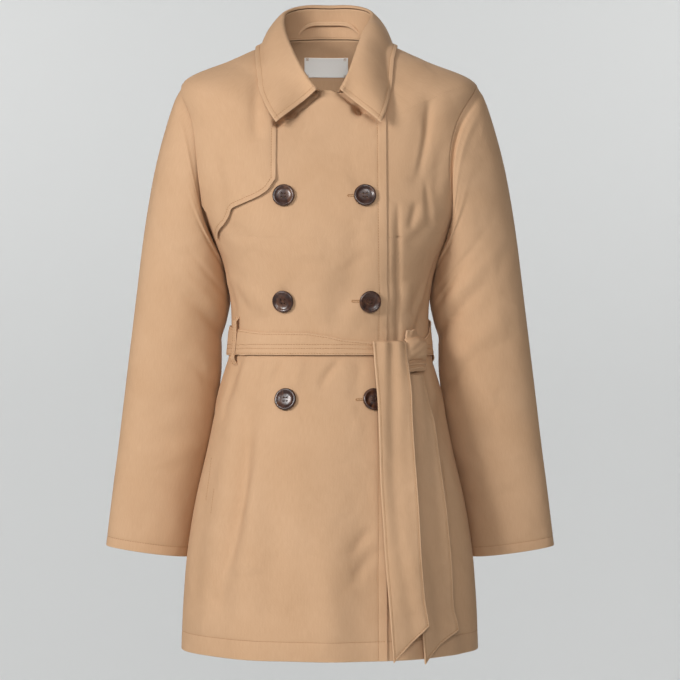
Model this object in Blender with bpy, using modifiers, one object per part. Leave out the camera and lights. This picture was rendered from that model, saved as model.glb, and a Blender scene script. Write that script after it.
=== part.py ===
"""A short double-breasted trench coat with a tied belt, filled out as if worn, with no wearer.

Metres, +Z up. The coat's front faces -Y and the wearer's left is +X. The origin is the centre of
the neck base, where the wearer's shoulders carry the coat. Every panel is cut from one torso
surface, which is set by an angle round the body and a station up it.
"""

import math

import bmesh
import bpy
import numpy as np
from mathutils import Matrix, Vector
from mathutils.bvhtree import BVHTree

# Cloth and seams
WALL = 0.0016
COLLAR_WALL = 0.0022
BELT_WALL = 0.0028
LABEL_WALL = 0.0010
SEAM_GAP = 0.0003
LAYER_GAP = 0.0011
LAP_LIFT = WALL + LAYER_GAP
FLAP_LIFT = WALL + LAYER_GAP

# Double-breasted front: both edges stand this far past the button columns' middle line
RIGHT_EDGE_X = 0.0715
LEFT_EDGE_X = -0.0800
LAP_CORNER_STATION = 13.8
LAP_LIFT_ANGLES = (math.radians(-80), math.radians(-44))
LAP_DROP_ANGLES = (math.radians(47), math.radians(61))

# Torso stations, from the hem up to the neck seam. A ring is a rounded oval: side_x wide at the
# sides, front_y and back_y deep, and its height runs from side_z to front_z and back_z.
STATION_COLUMNS = ("side_x", "side_z", "side_y", "front_y", "front_z", "back_y", "back_z", "square")
STATIONS = (
    (0.1910, -0.762, 0.000, 0.150, -0.762, 0.148, -0.762, 2.10),  # hem
    (0.1885, -0.700, 0.000, 0.147, -0.700, 0.146, -0.700, 2.10),
    (0.1835, -0.635, 0.000, 0.143, -0.635, 0.143, -0.635, 2.15),
    (0.1735, -0.570, 0.000, 0.137, -0.570, 0.138, -0.570, 2.20),  # hip
    (0.1590, -0.505, 0.000, 0.128, -0.505, 0.130, -0.505, 2.20),
    (0.1455, -0.440, 0.000, 0.117, -0.442, 0.118, -0.438, 2.20),
    (0.1320, -0.388, 0.000, 0.1065, -0.388, 0.102, -0.388, 2.20),  # belt, lower edge
    (0.1280, -0.348, 0.000, 0.104, -0.348, 0.093, -0.348, 2.20),  # waist
    (0.1300, -0.305, 0.000, 0.109, -0.308, 0.093, -0.303, 2.25),
    (0.1390, -0.264, 0.000, 0.116, -0.272, 0.099, -0.262, 2.30),
    (0.1540, -0.228, 0.000, 0.120, -0.238, 0.105, -0.222, 2.40),  # armpit
    (0.1720, -0.185, 0.002, 0.119, -0.200, 0.110, -0.170, 2.45),
    (0.1850, -0.130, 0.004, 0.113, -0.166, 0.112, -0.115, 2.50),
    (0.1900, -0.075, 0.005, 0.106, -0.136, 0.109, -0.072, 2.50),
    (0.1890, -0.031, 0.005, 0.100, -0.110, 0.102, -0.036, 2.40),  # shoulder tip
    (0.1260, -0.002, 0.005, 0.094, -0.080, 0.085, 0.003, 2.25),
    (0.0630, 0.027, 0.005, 0.088, -0.050, 0.065, 0.035, 2.10),  # neck seam
)
WAIST, ARMPIT, SHOULDER_TIP, NECK = 7, 10, 14, 16
SIDE_RISE = 2.4
ARMHOLE_CUT = {"front": math.radians(20), "back": math.radians(17)}

# Largest folds, as soft ridges and troughs along a line on the front (side -1) or back (side 1)
FOLD_COLUMNS = ("x0", "z0", "x1", "z1", "side", "width", "depth")
FOLDS = (
    (-0.098, -0.450, -0.138, -0.690, -1, 0.016, -0.0045),  # skirt, wearer's right
    (-0.120, -0.480, -0.160, -0.720, -1, 0.015, 0.0035),
    (-0.040, -0.520, -0.046, -0.740, -1, 0.022, 0.0025),
    (0.118, -0.450, 0.150, -0.700, -1, 0.017, -0.0040),
    (0.128, -0.060, 0.112, -0.160, -1, 0.013, -0.0030),  # chest, beside the left armhole
    (-0.126, -0.290, -0.090, -0.318, -1, 0.013, 0.0025),  # blousing above the belt
    (0.030, -0.325, 0.110, -0.300, -1, 0.014, 0.0025),
    (-0.080, -0.310, 0.080, -0.305, 1, 0.018, 0.0035),
    (-0.075, -0.470, -0.110, -0.740, 1, 0.022, 0.0050),  # skirt back
    (0.080, -0.460, 0.105, -0.740, 1, 0.022, 0.0050),
    (0.000, -0.450, 0.004, -0.730, 1, 0.024, -0.0045),
)
HEM_WAVES = 9
HEM_WAVE_DEPTH = 0.0030
HEM_WAVE_TOP_Z = -0.430

# Sleeve rings below the armhole: the outer and inner points seen from the front, the depth, and
# how far the inner side swings back behind the body's side
SLEEVE_COLUMNS = (
    "outer_x", "outer_z", "inner_x", "inner_z", "middle_y", "front_y", "back_y", "inner_back")
SLEEVE_RINGS = (
    (0.2005, -0.052, 0.1530, -0.236, 0.003, 0.061, 0.056, 0.004),
    (0.2115, -0.084, 0.1480, -0.246, 0.004, 0.061, 0.056, 0.010),
    (0.2245, -0.131, 0.1395, -0.262, 0.006, 0.060, 0.056, 0.016),
    (0.2345, -0.180, 0.1330, -0.285, 0.008, 0.058, 0.056, 0.019),
    (0.2440, -0.240, 0.1295, -0.318, 0.011, 0.056, 0.056, 0.020),
    (0.2525, -0.308, 0.1400, -0.362, 0.014, 0.053, 0.054, 0.018),
    (0.2610, -0.375, 0.1425, -0.415, 0.017, 0.049, 0.051, 0.016),
    (0.2685, -0.435, 0.1490, -0.465, 0.020, 0.045, 0.048, 0.016),
    (0.2765, -0.500, 0.1610, -0.522, 0.022, 0.041, 0.045, 0.017),
    (0.2845, -0.562, 0.1735, -0.580, 0.022, 0.038, 0.042, 0.018),
    (0.2930, -0.632, 0.1835, -0.648, 0.022, 0.036, 0.039, 0.018),  # cuff
)
SLEEVE_BLEND_RINGS = 4
ARMHOLE_STEPS = 10
ARMHOLE_EXTRA_GAP = 0.0008
ARMHOLE_LIFT = 0.0006
CREASE_COLUMNS = ("ring", "slant", "depth")
SLEEVE_CREASES = ((2.6, 0.9, 0.0015), (5.3, 1.2, 0.0025), (6.5, 1.1, 0.0025), (7.7, 0.8, 0.0015))
CREASE_WIDTH_RINGS = 0.55

# Collar, from the centre back to the front end: the angle on the neck seam, then a point on the
# roll line and one on the leaf's outer edge, and how far both lean to the wearer's left
COLLAR_COLUMNS = (
    "seam_deg", "roll_x", "roll_y", "roll_z", "edge_x", "edge_y", "edge_z", "lean_x")
COLLAR_HALF = (
    (180.0, 0.0000, 0.061, 0.073, 0.000, 0.098, 0.008, -0.0010),  # centre back
    (148.0, 0.0290, 0.055, 0.0725, 0.044, 0.091, 0.006, -0.0010),
    (118.0, 0.0495, 0.036, 0.067, 0.074, 0.064, 0.009, -0.0015),
    (92.0, 0.0560, 0.011, 0.055, 0.0865, 0.020, 0.018, -0.0030),  # shoulder
    (66.0, 0.0500, -0.022, 0.029, 0.0875, -0.034, -0.012, -0.0055),
    (42.0, 0.0395, -0.055, 0.000, 0.084, -0.076, -0.046, -0.0055),
    (23.0, 0.0275, -0.081, -0.0270, 0.076, -0.101, -0.072, -0.0035),
    (9.0, 0.0150, -0.0952, -0.0425, 0.066, -0.114, -0.091, -0.0015),  # front point
)
COLLAR_STEPS = 32
STAND_ROWS = 3
SEAM_LAP_DEGREES = (282, 316)
ROLL_RADIUS = 0.0044
ROLL_TURNS = (0, 15, 50, 85, 120)
LEAF_ROWS = 5
LEAF_CROWN = 0.007
LEAF_CLEARANCE_LEFT = COLLAR_WALL + 0.0026
LEAF_CLEARANCE_RIGHT = FLAP_LIFT + COLLAR_WALL + 0.0032

# Storm flap on the wearer's right chest: its lower edge as stations across the panel
FLAP_EDGE_X = -0.067
FLAP_TOP_STATION = 15.5
FLAP_FREE_TOP = 12.0
FLAP_EDGE = (
    (0.0, 9.80), (0.10, 10.08), (0.33, 10.42), (0.45, 10.80), (0.78, 11.22), (0.93, 11.50), (1.0, 11.95))
FLAP_EDGE_LIFT = 0.0025
FLAP_COLUMNS = 10
FLAP_FREE_ROWS = 4
FLAP_ARMHOLE_INSET = 0.010
FLAP_LOW_INSET = 0.035
FLAP_INSET_STATIONS = (10.6, 12.0)
FLAP_TIP_ANGLE = math.radians(68.5)
FLAP_TIP_STATIONS = (10.2, 11.0)
FLAP_ARMHOLE_LIFT = 0.0010

# Belt: a band that narrows where it is pulled into the knot, at BELT_TOP's angles
BELT_LOW_Z = -0.384
BELT_CLEARANCE = 0.0010
BELT_COLUMNS = 48
BELT_ROWS = 3
BELT_TOP = ((-180, -0.343), (-90, -0.345), (-45, -0.353), (-10, -0.360), (20, -0.367),
            (30, -0.3725), (42, -0.374), (58, -0.372), (90, -0.347), (180, -0.343))
BELT_LOOP_WIDTH = 0.010
BELT_LOOP_DEGREES = {"right": -66, "left": 100}
BELT_LOOP_RANGE_Z = (-0.396, -0.334)
BELT_LOOP_SLACK = 0.0006

# Belt tails: edges seen from the front at each height, and the heights of the slanted end
TAIL_COLUMNS = ("z", "near_x", "far_x")
FRONT_TAIL = (
    (-0.3695, 0.0555, 0.0970),
    (-0.439, 0.0603, 0.1015),
    (-0.544, 0.0638, 0.1065),
    (-0.623, 0.0685, 0.1106),
    (-0.689, 0.0735, 0.1167),
    (-0.7185, 0.0760, 0.1217),
    (-0.7630, 0.0790, 0.1240),
)
FRONT_TAIL_END_Z = (-0.7630, -0.7185)
FRONT_TAIL_OUT = LAP_LIFT + 0.0068 + BELT_WALL
TAIL_FOLD_RADIUS = 0.0045
TAIL_FOLD_TURNS = (36, 72, 108, 144, 165)
REAR_TAIL = (
    (-0.408, 0.0930, 0.1190),
    (-0.454, 0.0975, 0.1277),
    (-0.491, 0.1020, 0.1350),
    (-0.552, 0.1070, 0.1413),
    (-0.612, 0.1120, 0.1466),
    (-0.6535, 0.1160, 0.1516),
    (-0.696, 0.1200, 0.1556),
    (-0.729, 0.1240, 0.1604),
    (-0.768, 0.1280, 0.1640),
)
REAR_TAIL_END_Z = (-0.768, -0.729)
REAR_TAIL_OUT = BELT_WALL + 0.0022

# Knot: a crumpled wrap round the belt, beside the front tail
KNOT_X = (0.0985, 0.1215)
KNOT_Z = (-0.404, -0.352)
KNOT_PLEATS = 3
KNOT_PLEAT_DEPTH = 0.0016
KNOT_CROWN = 0.0040
KNOT_SLANT = 0.08
KNOT_GAP = 0.0012
KNOT_COLUMNS, KNOT_ROWS = 6, 14

# Buttons: two columns of three
BUTTON_PROFILE = ((0.0, 0.0028), (0.0098, 0.0030), (0.0111, 0.0043), (0.0129, 0.0042),
                  (0.0140, 0.0022), (0.0118, 0.0), (0.0, 0.0))
BUTTON_STEPS = 18
BUTTON_HOLE_RADIUS = 0.0011
BUTTON_HOLE_PITCH = 0.0046
BUTTON_SEAT = 0.0006
BUTTON_COLUMNS_X = {"right": -0.057, "left": 0.044}
BUTTON_ROWS_Z = {"top": -0.184, "middle": -0.315, "bottom": -0.439}
BUTTON_SHIFT_X = {("left", "middle"): 0.005, ("left", "bottom"): 0.010}

# Inside the back neck
LABEL_X = (-0.035, 0.024)
LABEL_Z = (-0.011, 0.014)
LABEL_GAP = 0.0006
HANGER_CENTRE_X = -0.0015
HANGER_HALF = 0.040
HANGER_RISE = 0.015
HANGER_WIDTH = 0.005
HANGER_WALL = 0.0012
HANGER_Z = 0.040
HANGER_END_GAP = 0.0024
HANGER_SLACK = 0.0040

# Rows and columns of the coarse cloth meshes
SKIRT_ROWS, WAIST_ROWS = 5, 10
SKIRT_TOP_STATION = 5
SHOULDER_ROWS = 4
SLEEVE_ROWS = 20
PANEL_COLUMNS = {"right": 17, "left": 12, "back": 21}
EDGE_SHARE = 0.015

COTTON = ("cotton_gabardine", (0.60, 0.40, 0.23, 1.0), 0.85)
HORN = ("polished_horn", (0.06, 0.022, 0.012, 1.0), 0.30)
SATIN = ("woven_label", (0.82, 0.80, 0.77, 1.0), 0.60)


def table(columns, rows):
    """The rows of a table as one array for each named column."""
    return dict(zip(columns, np.array(rows, float).T))


TORSO = table(STATION_COLUMNS, STATIONS)
FOLD = table(FOLD_COLUMNS, FOLDS)


def smooth_through(values, at):
    """A smooth curve through values, one per whole number, read at the numbers in at."""
    values = np.asarray(values, float)
    at = np.clip(np.asarray(at, float), 0, len(values) - 1)
    padded = np.concatenate([[2 * values[0] - values[1]], values, [2 * values[-1] - values[-2]]])
    low = np.minimum(at.astype(int), len(values) - 2)
    f = at - low
    before, first, second, after = (padded[low + k] for k in range(4))
    slope = second - before
    bend = 2 * before - 5 * first + 4 * second - after
    twist = 3 * (first - second) + after - before
    return first + 0.5 * f * (slope + f * (bend + f * twist))


def ease(value, start, end):
    """0 before start, 1 after end, and a smooth rise between."""
    share = np.clip((value - start) / (end - start), 0, 1)
    return share * share * (3 - 2 * share)


def unit(vectors):
    return vectors / np.linalg.norm(vectors, axis=-1, keepdims=True)


def torso_ring(angle, station):
    """Points of the torso with no folds, where angle 0 is the centre front and +90 degrees the left side."""
    angle, station = np.broadcast_arrays(angle, station)
    at = {name: smooth_through(TORSO[name], station) for name in STATION_COLUMNS}
    sine, cosine = np.sin(angle), np.cos(angle)
    depth = np.where(cosine > 0, at["front_y"], at["back_y"])
    power = at["square"]
    radius = ((np.abs(sine) / at["side_x"]) ** power + (np.abs(cosine) / depth) ** power) ** (-1 / power)
    middle_z = np.where(cosine > 0, at["front_z"], at["back_z"])
    z = middle_z + (at["side_z"] - middle_z) * np.abs(sine) ** SIDE_RISE
    return np.stack([radius * sine, at["side_y"] - radius * cosine, z], axis=-1)


def torso_normal(angle, station):
    step = 1e-3
    around = torso_ring(angle + step, station) - torso_ring(angle - step, station)
    up = torso_ring(angle, station + step) - torso_ring(angle, station - step)
    return unit(np.cross(around, up))


def fold_height(points, angle):
    """How far the folds push each point of the torso out."""
    height = np.zeros(points.shape[:-1])
    for x0, z0, x1, z1, side, width, depth in zip(*(FOLD[name] for name in FOLD_COLUMNS)):
        run = np.array([x1 - x0, z1 - z0])
        offset = points[..., [0, 2]] - (x0, z0)
        share = np.clip(offset @ run / (run @ run), 0, 1)
        distance = np.linalg.norm(offset - share[..., None] * run, axis=-1)
        faces = ease(side * points[..., 1], 0.0, 0.03)
        height += depth * faces * np.exp(-((distance / width) ** 2))
    skirt = ease(-points[..., 2], -HEM_WAVE_TOP_Z, -STATIONS[0][1])
    return height + HEM_WAVE_DEPTH * skirt * np.cos(HEM_WAVES * angle + 0.6 * np.sin(2 * angle))


def torso(angle, station, out=0.0):
    """Points of the torso with its folds, moved out along the normal."""
    angle, station = np.broadcast_arrays(angle, station)
    ring = torso_ring(angle, station)
    height = fold_height(ring, angle) + out
    return ring + torso_normal(angle, station) * height[..., None]


def bisect(value_at, target, low, high):
    """Where a rising function reaches each target."""
    low, high = np.full(np.shape(target), float(low)), np.full(np.shape(target), float(high))
    for _ in range(40):
        middle = (low + high) / 2
        below = value_at(middle) < target
        low, high = np.where(below, middle, low), np.where(below, high, middle)
    return (low + high) / 2


def angle_at_x(station, x):
    """The angle on the front at which each station's ring reaches x."""
    station, x = np.broadcast_arrays(np.asarray(station, float), np.asarray(x, float))
    return bisect(lambda angle: torso_ring(angle, station)[..., 0], x, -math.pi / 2, math.pi / 2)


def station_at_z(angle, z):
    angle, z = np.broadcast_arrays(np.asarray(angle, float), np.asarray(z, float))
    return bisect(lambda station: torso_ring(angle, station)[..., 2], z, 0, NECK)


def place_at(x, z, out=0.0):
    """Angle and station of the front's point that, moved out, has this x and z."""
    x, z, out = np.broadcast_arrays(*(np.asarray(value, float) for value in (x, z, out)))
    angle = np.zeros(x.shape)
    shift = np.zeros(x.shape + (3,))
    for _ in range(12):
        station = station_at_z(angle, z - shift[..., 2])
        angle = angle_at_x(station, x - shift[..., 0])
        shift = torso_normal(angle, station) * out[..., None]
    return angle, station


def lap_lift(angle):
    """How far the right front stands out, so that it covers the left one."""
    return LAP_LIFT * ease(angle, *LAP_LIFT_ANGLES)


def side_angle(station, cut):
    """The angle of a panel's side edge: the side seam, the armhole and the shoulder seam."""
    height = np.clip((station - ARMPIT) / (SHOULDER_TIP - ARMPIT), 0, 1)
    armhole = ARMHOLE_CUT[cut] * np.sqrt(np.sin(math.pi * height).clip(0))
    seam = SEAM_GAP / 2 / smooth_through(TORSO["side_x"], station)
    return math.pi / 2 - np.maximum(armhole, seam)


def armhole_stations():
    turn = np.linspace(0, math.pi, ARMHOLE_STEPS + 1)
    return ARMPIT + (SHOULDER_TIP - ARMPIT) * (1 - np.cos(turn)) / 2


def panel_stations():
    skirt = np.linspace(0, SKIRT_TOP_STATION, SKIRT_ROWS + 1)[:-1]
    waist = np.linspace(SKIRT_TOP_STATION, ARMPIT, WAIST_ROWS + 1)[:-1]
    shoulder = np.linspace(SHOULDER_TIP, NECK, SHOULDER_ROWS + 1)[1:]
    return np.concatenate([skirt, waist, armhole_stations(), shoulder])


def front_edge_angle(station, edge_x):
    """The front edge, straight up to the lap's corner and from there along its top to the neck."""
    x = edge_x * (1 - np.clip((station - LAP_CORNER_STATION) / (NECK - LAP_CORNER_STATION), 0, 1))
    return angle_at_x(station, x)


def between(first, last, columns):
    """Values from first to last for each pair, with a narrow column at both ends for a true seam edge."""
    inside = np.linspace(0, 1, columns + 1)[1:-1]
    share = np.concatenate([[0, EDGE_SHARE], inside, [1 - EDGE_SHARE, 1]])
    return first[:, None] * (1 - share) + last[:, None] * share


def clear_scene():
    for obj in list(bpy.data.objects):
        bpy.data.objects.remove(obj, do_unlink=True)


def make_collection(name):
    collection = bpy.data.collections.new(name)
    bpy.context.scene.collection.children.link(collection)
    return collection


def make_material(name, colour, roughness):
    material = bpy.data.materials.new(name)
    material.use_nodes = True
    shader = material.node_tree.nodes["Principled BSDF"]
    shader.inputs["Base Color"].default_value = colour
    shader.inputs["Roughness"].default_value = roughness
    shader.inputs["Metallic"].default_value = 0.0
    return material


def grid_faces(rows, columns, closed):
    """Quads of a grid whose rows run up and whose columns run to the left side, facing out."""
    last = columns if closed else columns - 1
    return [
        (r * columns + c, r * columns + (c + 1) % columns,
         (r + 1) * columns + (c + 1) % columns, (r + 1) * columns + c)
        for r in range(rows - 1) for c in range(last)
    ]


def cloth(name, grid, material, collection, wall=WALL, closed=False):
    """A piece of cloth: the grid is its outer face, and the wall goes inwards."""
    rows, columns, _ = grid.shape
    mesh = bpy.data.meshes.new(name)
    mesh.from_pydata(grid.reshape(-1, 3).tolist(), [], grid_faces(rows, columns, closed))
    mesh.materials.append(material)
    mesh.shade_smooth()
    piece = bpy.data.objects.new(name, mesh)
    thickness = piece.modifiers.new("wall", "SOLIDIFY")
    thickness.thickness = wall
    thickness.offset = -1
    collection.objects.link(piece)
    return piece


def build_fronts(cotton, collection):
    stations = panel_stations()
    side = side_angle(stations, "front")
    edges = {"right": (-side, front_edge_angle(stations, RIGHT_EDGE_X)),
             "left": (front_edge_angle(stations, LEFT_EDGE_X), side)}
    for which, (first, last) in edges.items():
        angle = between(first, last, PANEL_COLUMNS[which])
        out = lap_lift(angle) if which == "right" else 0.0
        cloth(f"{which}_front", torso(angle, stations[:, None], out), cotton, collection)


def build_back(cotton, collection):
    stations = panel_stations()
    side = side_angle(stations, "back")
    angle = between(math.pi - side, math.pi + side, PANEL_COLUMNS["back"])
    cloth("back", torso(angle, stations[:, None]), cotton, collection)


def armhole_loop():
    """The left armhole's edge from the shoulder tip down the front and up the back, and its normals."""
    down = armhole_stations()[::-1]
    up = armhole_stations()[1:-1]
    angle = np.concatenate([side_angle(down, "front"), math.pi - side_angle(up, "back")])
    station = np.concatenate([down, up])
    return torso(angle, station), torso_normal(angle, station)


def sleeve_root(loop, normal):
    """The sleeve's first ring: the armhole moved clear of the panels, most at the convex shoulder."""
    along = np.roll(loop, -1, axis=0) - np.roll(loop, 1, axis=0)
    away = unit(np.cross(along, normal))
    away *= np.sign(((loop.mean(axis=0) - loop) * away).sum(axis=1, keepdims=True))
    turn = np.linspace(0, 2 * math.pi, len(loop), endpoint=False)
    top = (1 + np.cos(turn)) / 2
    gap = SEAM_GAP + ARMHOLE_EXTRA_GAP * top
    lift = ARMHOLE_LIFT * (1 - top)
    return loop + away * gap[:, None] + normal * lift[:, None]


def sleeve_grid():
    """Rings of the left sleeve, which turn from the armhole's outline into an oval."""
    loop, normal = armhole_loop()
    turn = np.linspace(0, 2 * math.pi, len(loop), endpoint=False)
    tip, pit = loop[0], loop[len(loop) // 2]
    chord = (pit - tip)[[0, 2]]
    across = np.array([chord[1], -chord[0]]) / np.linalg.norm(chord)
    offset = loop[:, [0, 2]] - tip[[0, 2]]
    loop_share = offset @ chord / (chord @ chord)
    loop_bulge = offset @ across
    rings = [sleeve_root(loop, normal)]
    for number, row in enumerate(SLEEVE_RINGS, start=1):
        ring = dict(zip(SLEEVE_COLUMNS, row))
        blend = ease(number, 0, SLEEVE_BLEND_RINGS)
        outer = np.array([ring["outer_x"], ring["outer_z"]])
        run = np.array([ring["inner_x"], ring["inner_z"]]) - outer
        depth = np.where(np.sin(turn) > 0, ring["front_y"], ring["back_y"])
        share = (1 - blend) * loop_share + blend * (1 - np.cos(turn)) / 2
        swing = ring["inner_back"] * ((1 - np.cos(turn)) / 2) ** 2
        y = (1 - blend) * loop[:, 1] + blend * (ring["middle_y"] - depth * np.sin(turn) + swing)
        side = np.array([run[1], -run[0]]) / np.linalg.norm(run)
        plane = outer + share[:, None] * run + ((1 - blend) * loop_bulge)[:, None] * side
        rings.append(np.stack([plane[:, 0], y, plane[:, 1]], axis=1))
    grid = np.array(rings)
    return crease_sleeve(refine_rings(grid, SLEEVE_ROWS), turn)


def refine_rings(grid, steps):
    """The same tube with more rings, on smooth curves through the given ones."""
    rows = len(grid)
    at = np.linspace(0, rows - 1, steps + 1)
    flat = grid.reshape(rows, -1)
    return np.stack([smooth_through(column, at) for column in flat.T], axis=1).reshape(len(at), -1, 3)


def crease_sleeve(grid, turn):
    """Soft troughs across the inside of the arm, where a sleeve folds at the elbow."""
    rings = np.linspace(0, len(SLEEVE_RINGS), len(grid))[:, None]
    middle = grid.mean(axis=1, keepdims=True)
    inward = unit(middle - grid)
    crease = table(CREASE_COLUMNS, SLEEVE_CREASES)
    for ring, slant, depth in zip(*(crease[name] for name in CREASE_COLUMNS)):
        centre = ring + slant * (np.cos(turn) - 0.4) * 0.5
        facing = ((1 - np.cos(turn - 0.5)) / 2) ** 1.5
        trough = np.exp(-((rings - centre) / CREASE_WIDTH_RINGS) ** 2)
        grid = grid + inward * (depth * facing * trough)[..., None]
    return grid


def build_sleeves(cotton, collection):
    left = sleeve_grid()
    for which, mirror in (("right", -1), ("left", 1)):
        grid = left * (mirror, 1, 1)
        facing_out = grid[:, ::-1] if mirror == 1 else grid
        cloth(f"sleeve_{which}", facing_out[::-1], cotton, collection, closed=True)


def collar_table():
    """The whole collar's rows, from the right front end round the back to the left one."""
    half = np.array(COLLAR_HALF)
    mirrored = half[::-1].copy()
    mirrored[:, 0] = 360 - mirrored[:, 0]
    mirrored[:, [1, 4]] *= -1
    whole = np.concatenate([mirrored, half[1:]])
    whole[:, [1, 4]] += whole[:, [7]]
    return whole


def collar_lines(columns):
    """Neck seam, roll line and outer edge of the collar at evenly spaced places along it."""
    whole = collar_table()
    at = np.linspace(0, len(whole) - 1, columns + 1)
    seam_deg, *rest = (smooth_through(column, at) for column in whole.T)
    roll, edge = np.stack(rest[:3], axis=1), np.stack(rest[3:6], axis=1)
    angle = np.radians(seam_deg)
    up = unit(torso_ring(angle, NECK) - torso_ring(angle, NECK - 0.2))
    right_lap = LAP_LIFT * ease(seam_deg, *SEAM_LAP_DEGREES)
    foot = torso(angle, float(NECK), right_lap) + 3 * SEAM_GAP * up
    along = np.gradient(roll, axis=0)
    away = unit(np.cross(roll - foot, along))
    return foot - COLLAR_WALL * away, roll, edge


def skin_tree():
    """The torso's outer skin with the lap, to keep other pieces clear of it."""
    stations = np.linspace(0, NECK, 97)
    angle = np.linspace(-math.pi, math.pi, 145)[None, :-1] + 0 * stations[:, None]
    edge = front_edge_angle(stations, RIGHT_EDGE_X)[:, None]
    lap = lap_lift(angle) * (1 - ease(angle, edge + 0.03, edge + 0.12))
    points = torso(angle, stations[:, None], lap)
    faces = grid_faces(len(stations), angle.shape[1], True)
    return BVHTree.FromPolygons(points.reshape(-1, 3).tolist(), faces)


def kept_clear(grid, tree, clearance):
    """The grid with each point at least its clearance outside the skin."""
    moved = grid.copy()
    for index in np.ndindex(grid.shape[:-1]):
        point = Vector(grid[index])
        nearest, normal, _, _ = tree.find_nearest(point)
        short = clearance[index] - (point - nearest).dot(normal)
        if short > 0:
            moved[index] = point + normal * short
    return moved


def leaf_grid(columns, tree):
    """The collar's leaf: it rises from the stand, rolls over and falls to its outer edge."""
    seam, roll, edge = collar_lines(columns)
    rise = unit(roll - seam)
    fall = edge - roll
    outward = unit(fall - rise * (fall * rise).sum(axis=1, keepdims=True))
    start = roll + rise * 3 * SEAM_GAP
    turn = np.radians(ROLL_TURNS)[:, None, None]
    rolled = start + ROLL_RADIUS * (outward * (1 - np.cos(turn)) + rise * np.sin(turn))
    leaving = outward * np.sin(turn[-1]) + rise * np.cos(turn[-1])
    crown = unit(rise * 0.5 + outward * 0.8)
    length = np.linalg.norm(edge - rolled[-1], axis=1, keepdims=True)
    controls = (rolled[-1], rolled[-1] + leaving * length * 0.30,
                edge - (edge - rolled[-1]) * 0.35 + crown * LEAF_CROWN, edge)
    share = np.linspace(0, 1, LEAF_ROWS + 1)[1:]
    weights = ((1 - share) ** 3, 3 * share * (1 - share) ** 2, 3 * share**2 * (1 - share), share**3)
    fallen = sum(w[:, None, None] * control for w, control in zip(weights, controls))
    side = np.where(fallen[..., 0] < 0, LEAF_CLEARANCE_RIGHT, LEAF_CLEARANCE_LEFT)
    clear = kept_clear(fallen, tree, side)
    settled = ease(share, 0.1, 0.4)[:, None, None]
    return np.concatenate([rolled, fallen + (clear - fallen) * settled])


def build_collar(cotton, collection, tree):
    seam, roll, _ = collar_lines(COLLAR_STEPS)
    share = np.linspace(0, 1, STAND_ROWS + 1)[:, None, None]
    stand = seam * (1 - share) + roll * share
    cloth("collar_stand", stand, cotton, collection, COLLAR_WALL)
    cloth("collar_leaf", leaf_grid(COLLAR_STEPS, tree), cotton, collection, COLLAR_WALL)


def build_flap(cotton, collection):
    share = np.linspace(0, 1, FLAP_COLUMNS + 1)
    low = np.interp(share, *np.array(FLAP_EDGE).T)
    above = panel_stations()
    above = above[(above > FLAP_FREE_TOP + 0.1) & (above <= FLAP_TOP_STATION)][:, None] + 0 * share
    rise = np.linspace(0, 1, FLAP_FREE_ROWS + 1)[:, None]
    station = np.concatenate([low + (FLAP_FREE_TOP - low) * rise, above])
    inset = FLAP_ARMHOLE_INSET + FLAP_LOW_INSET * (1 - ease(station, *FLAP_INSET_STATIONS))
    armhole = -side_angle(station, "front") + inset
    tip = -math.pi / 2 + (math.pi / 2 - FLAP_TIP_ANGLE) * (1 - ease(station, *FLAP_TIP_STATIONS))
    armhole = np.maximum(armhole, tip)
    inner = angle_at_x(station, FLAP_EDGE_X)
    angle = armhole * (1 - share) + inner * share
    free = np.exp(-(((station - low) / 0.35) ** 2)) * ease(share, 0.0, 0.25)
    near_armhole = 1 - ease(share, 0.0, 0.3)
    out = lap_lift(angle) + FLAP_LIFT + FLAP_ARMHOLE_LIFT * near_armhole + FLAP_EDGE_LIFT * free
    cloth("storm_flap", torso(angle, station, out), cotton, collection)


def build_belt(cotton, collection):
    angle = np.linspace(-math.pi, math.pi, BELT_COLUMNS + 1)[:-1]
    degrees, tops = np.array(BELT_TOP, float).T
    top = np.interp(np.degrees(angle), degrees, tops)
    rows = []
    for share in np.linspace(0, 1, BELT_ROWS + 1):
        z = BELT_LOW_Z + (top - BELT_LOW_Z) * share
        out = belt_out(angle) + BELT_WALL
        rows.append(torso(angle, station_at_z(angle, z), out))
    cloth("belt", np.array(rows), cotton, collection, BELT_WALL, closed=True)


def belt_out(angle):
    """How far the belt's inner face stands off the torso: it clears the lap and its front edge."""
    return lap_lift(angle) * (1 - ease(angle, *LAP_DROP_ANGLES)) + BELT_CLEARANCE


def build_belt_loops(cotton, collection):
    z = np.linspace(*BELT_LOOP_RANGE_Z, 9)[:, None]
    middle, half = sum(BELT_LOOP_RANGE_Z) / 2, (BELT_LOOP_RANGE_Z[1] - BELT_LOOP_RANGE_Z[0]) / 2
    over = 1 - ease(np.abs(z - middle), half * 0.80, half * 0.97)
    width = BELT_LOOP_WIDTH / TORSO["side_x"][WAIST] * np.linspace(-0.5, 0.5, 3)
    stand_off = BELT_CLEARANCE + BELT_WALL + BELT_LOOP_SLACK
    for which, side in (("right", -1), ("left", 1)):
        angle = math.radians(BELT_LOOP_DEGREES[which]) + width + 0 * z
        out = lap_lift(angle) * (side < 0) + SEAM_GAP + WALL + stand_off * over
        cloth(f"belt_loop_{which}", torso(angle, station_at_z(angle, z), out), cotton, collection)


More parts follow.
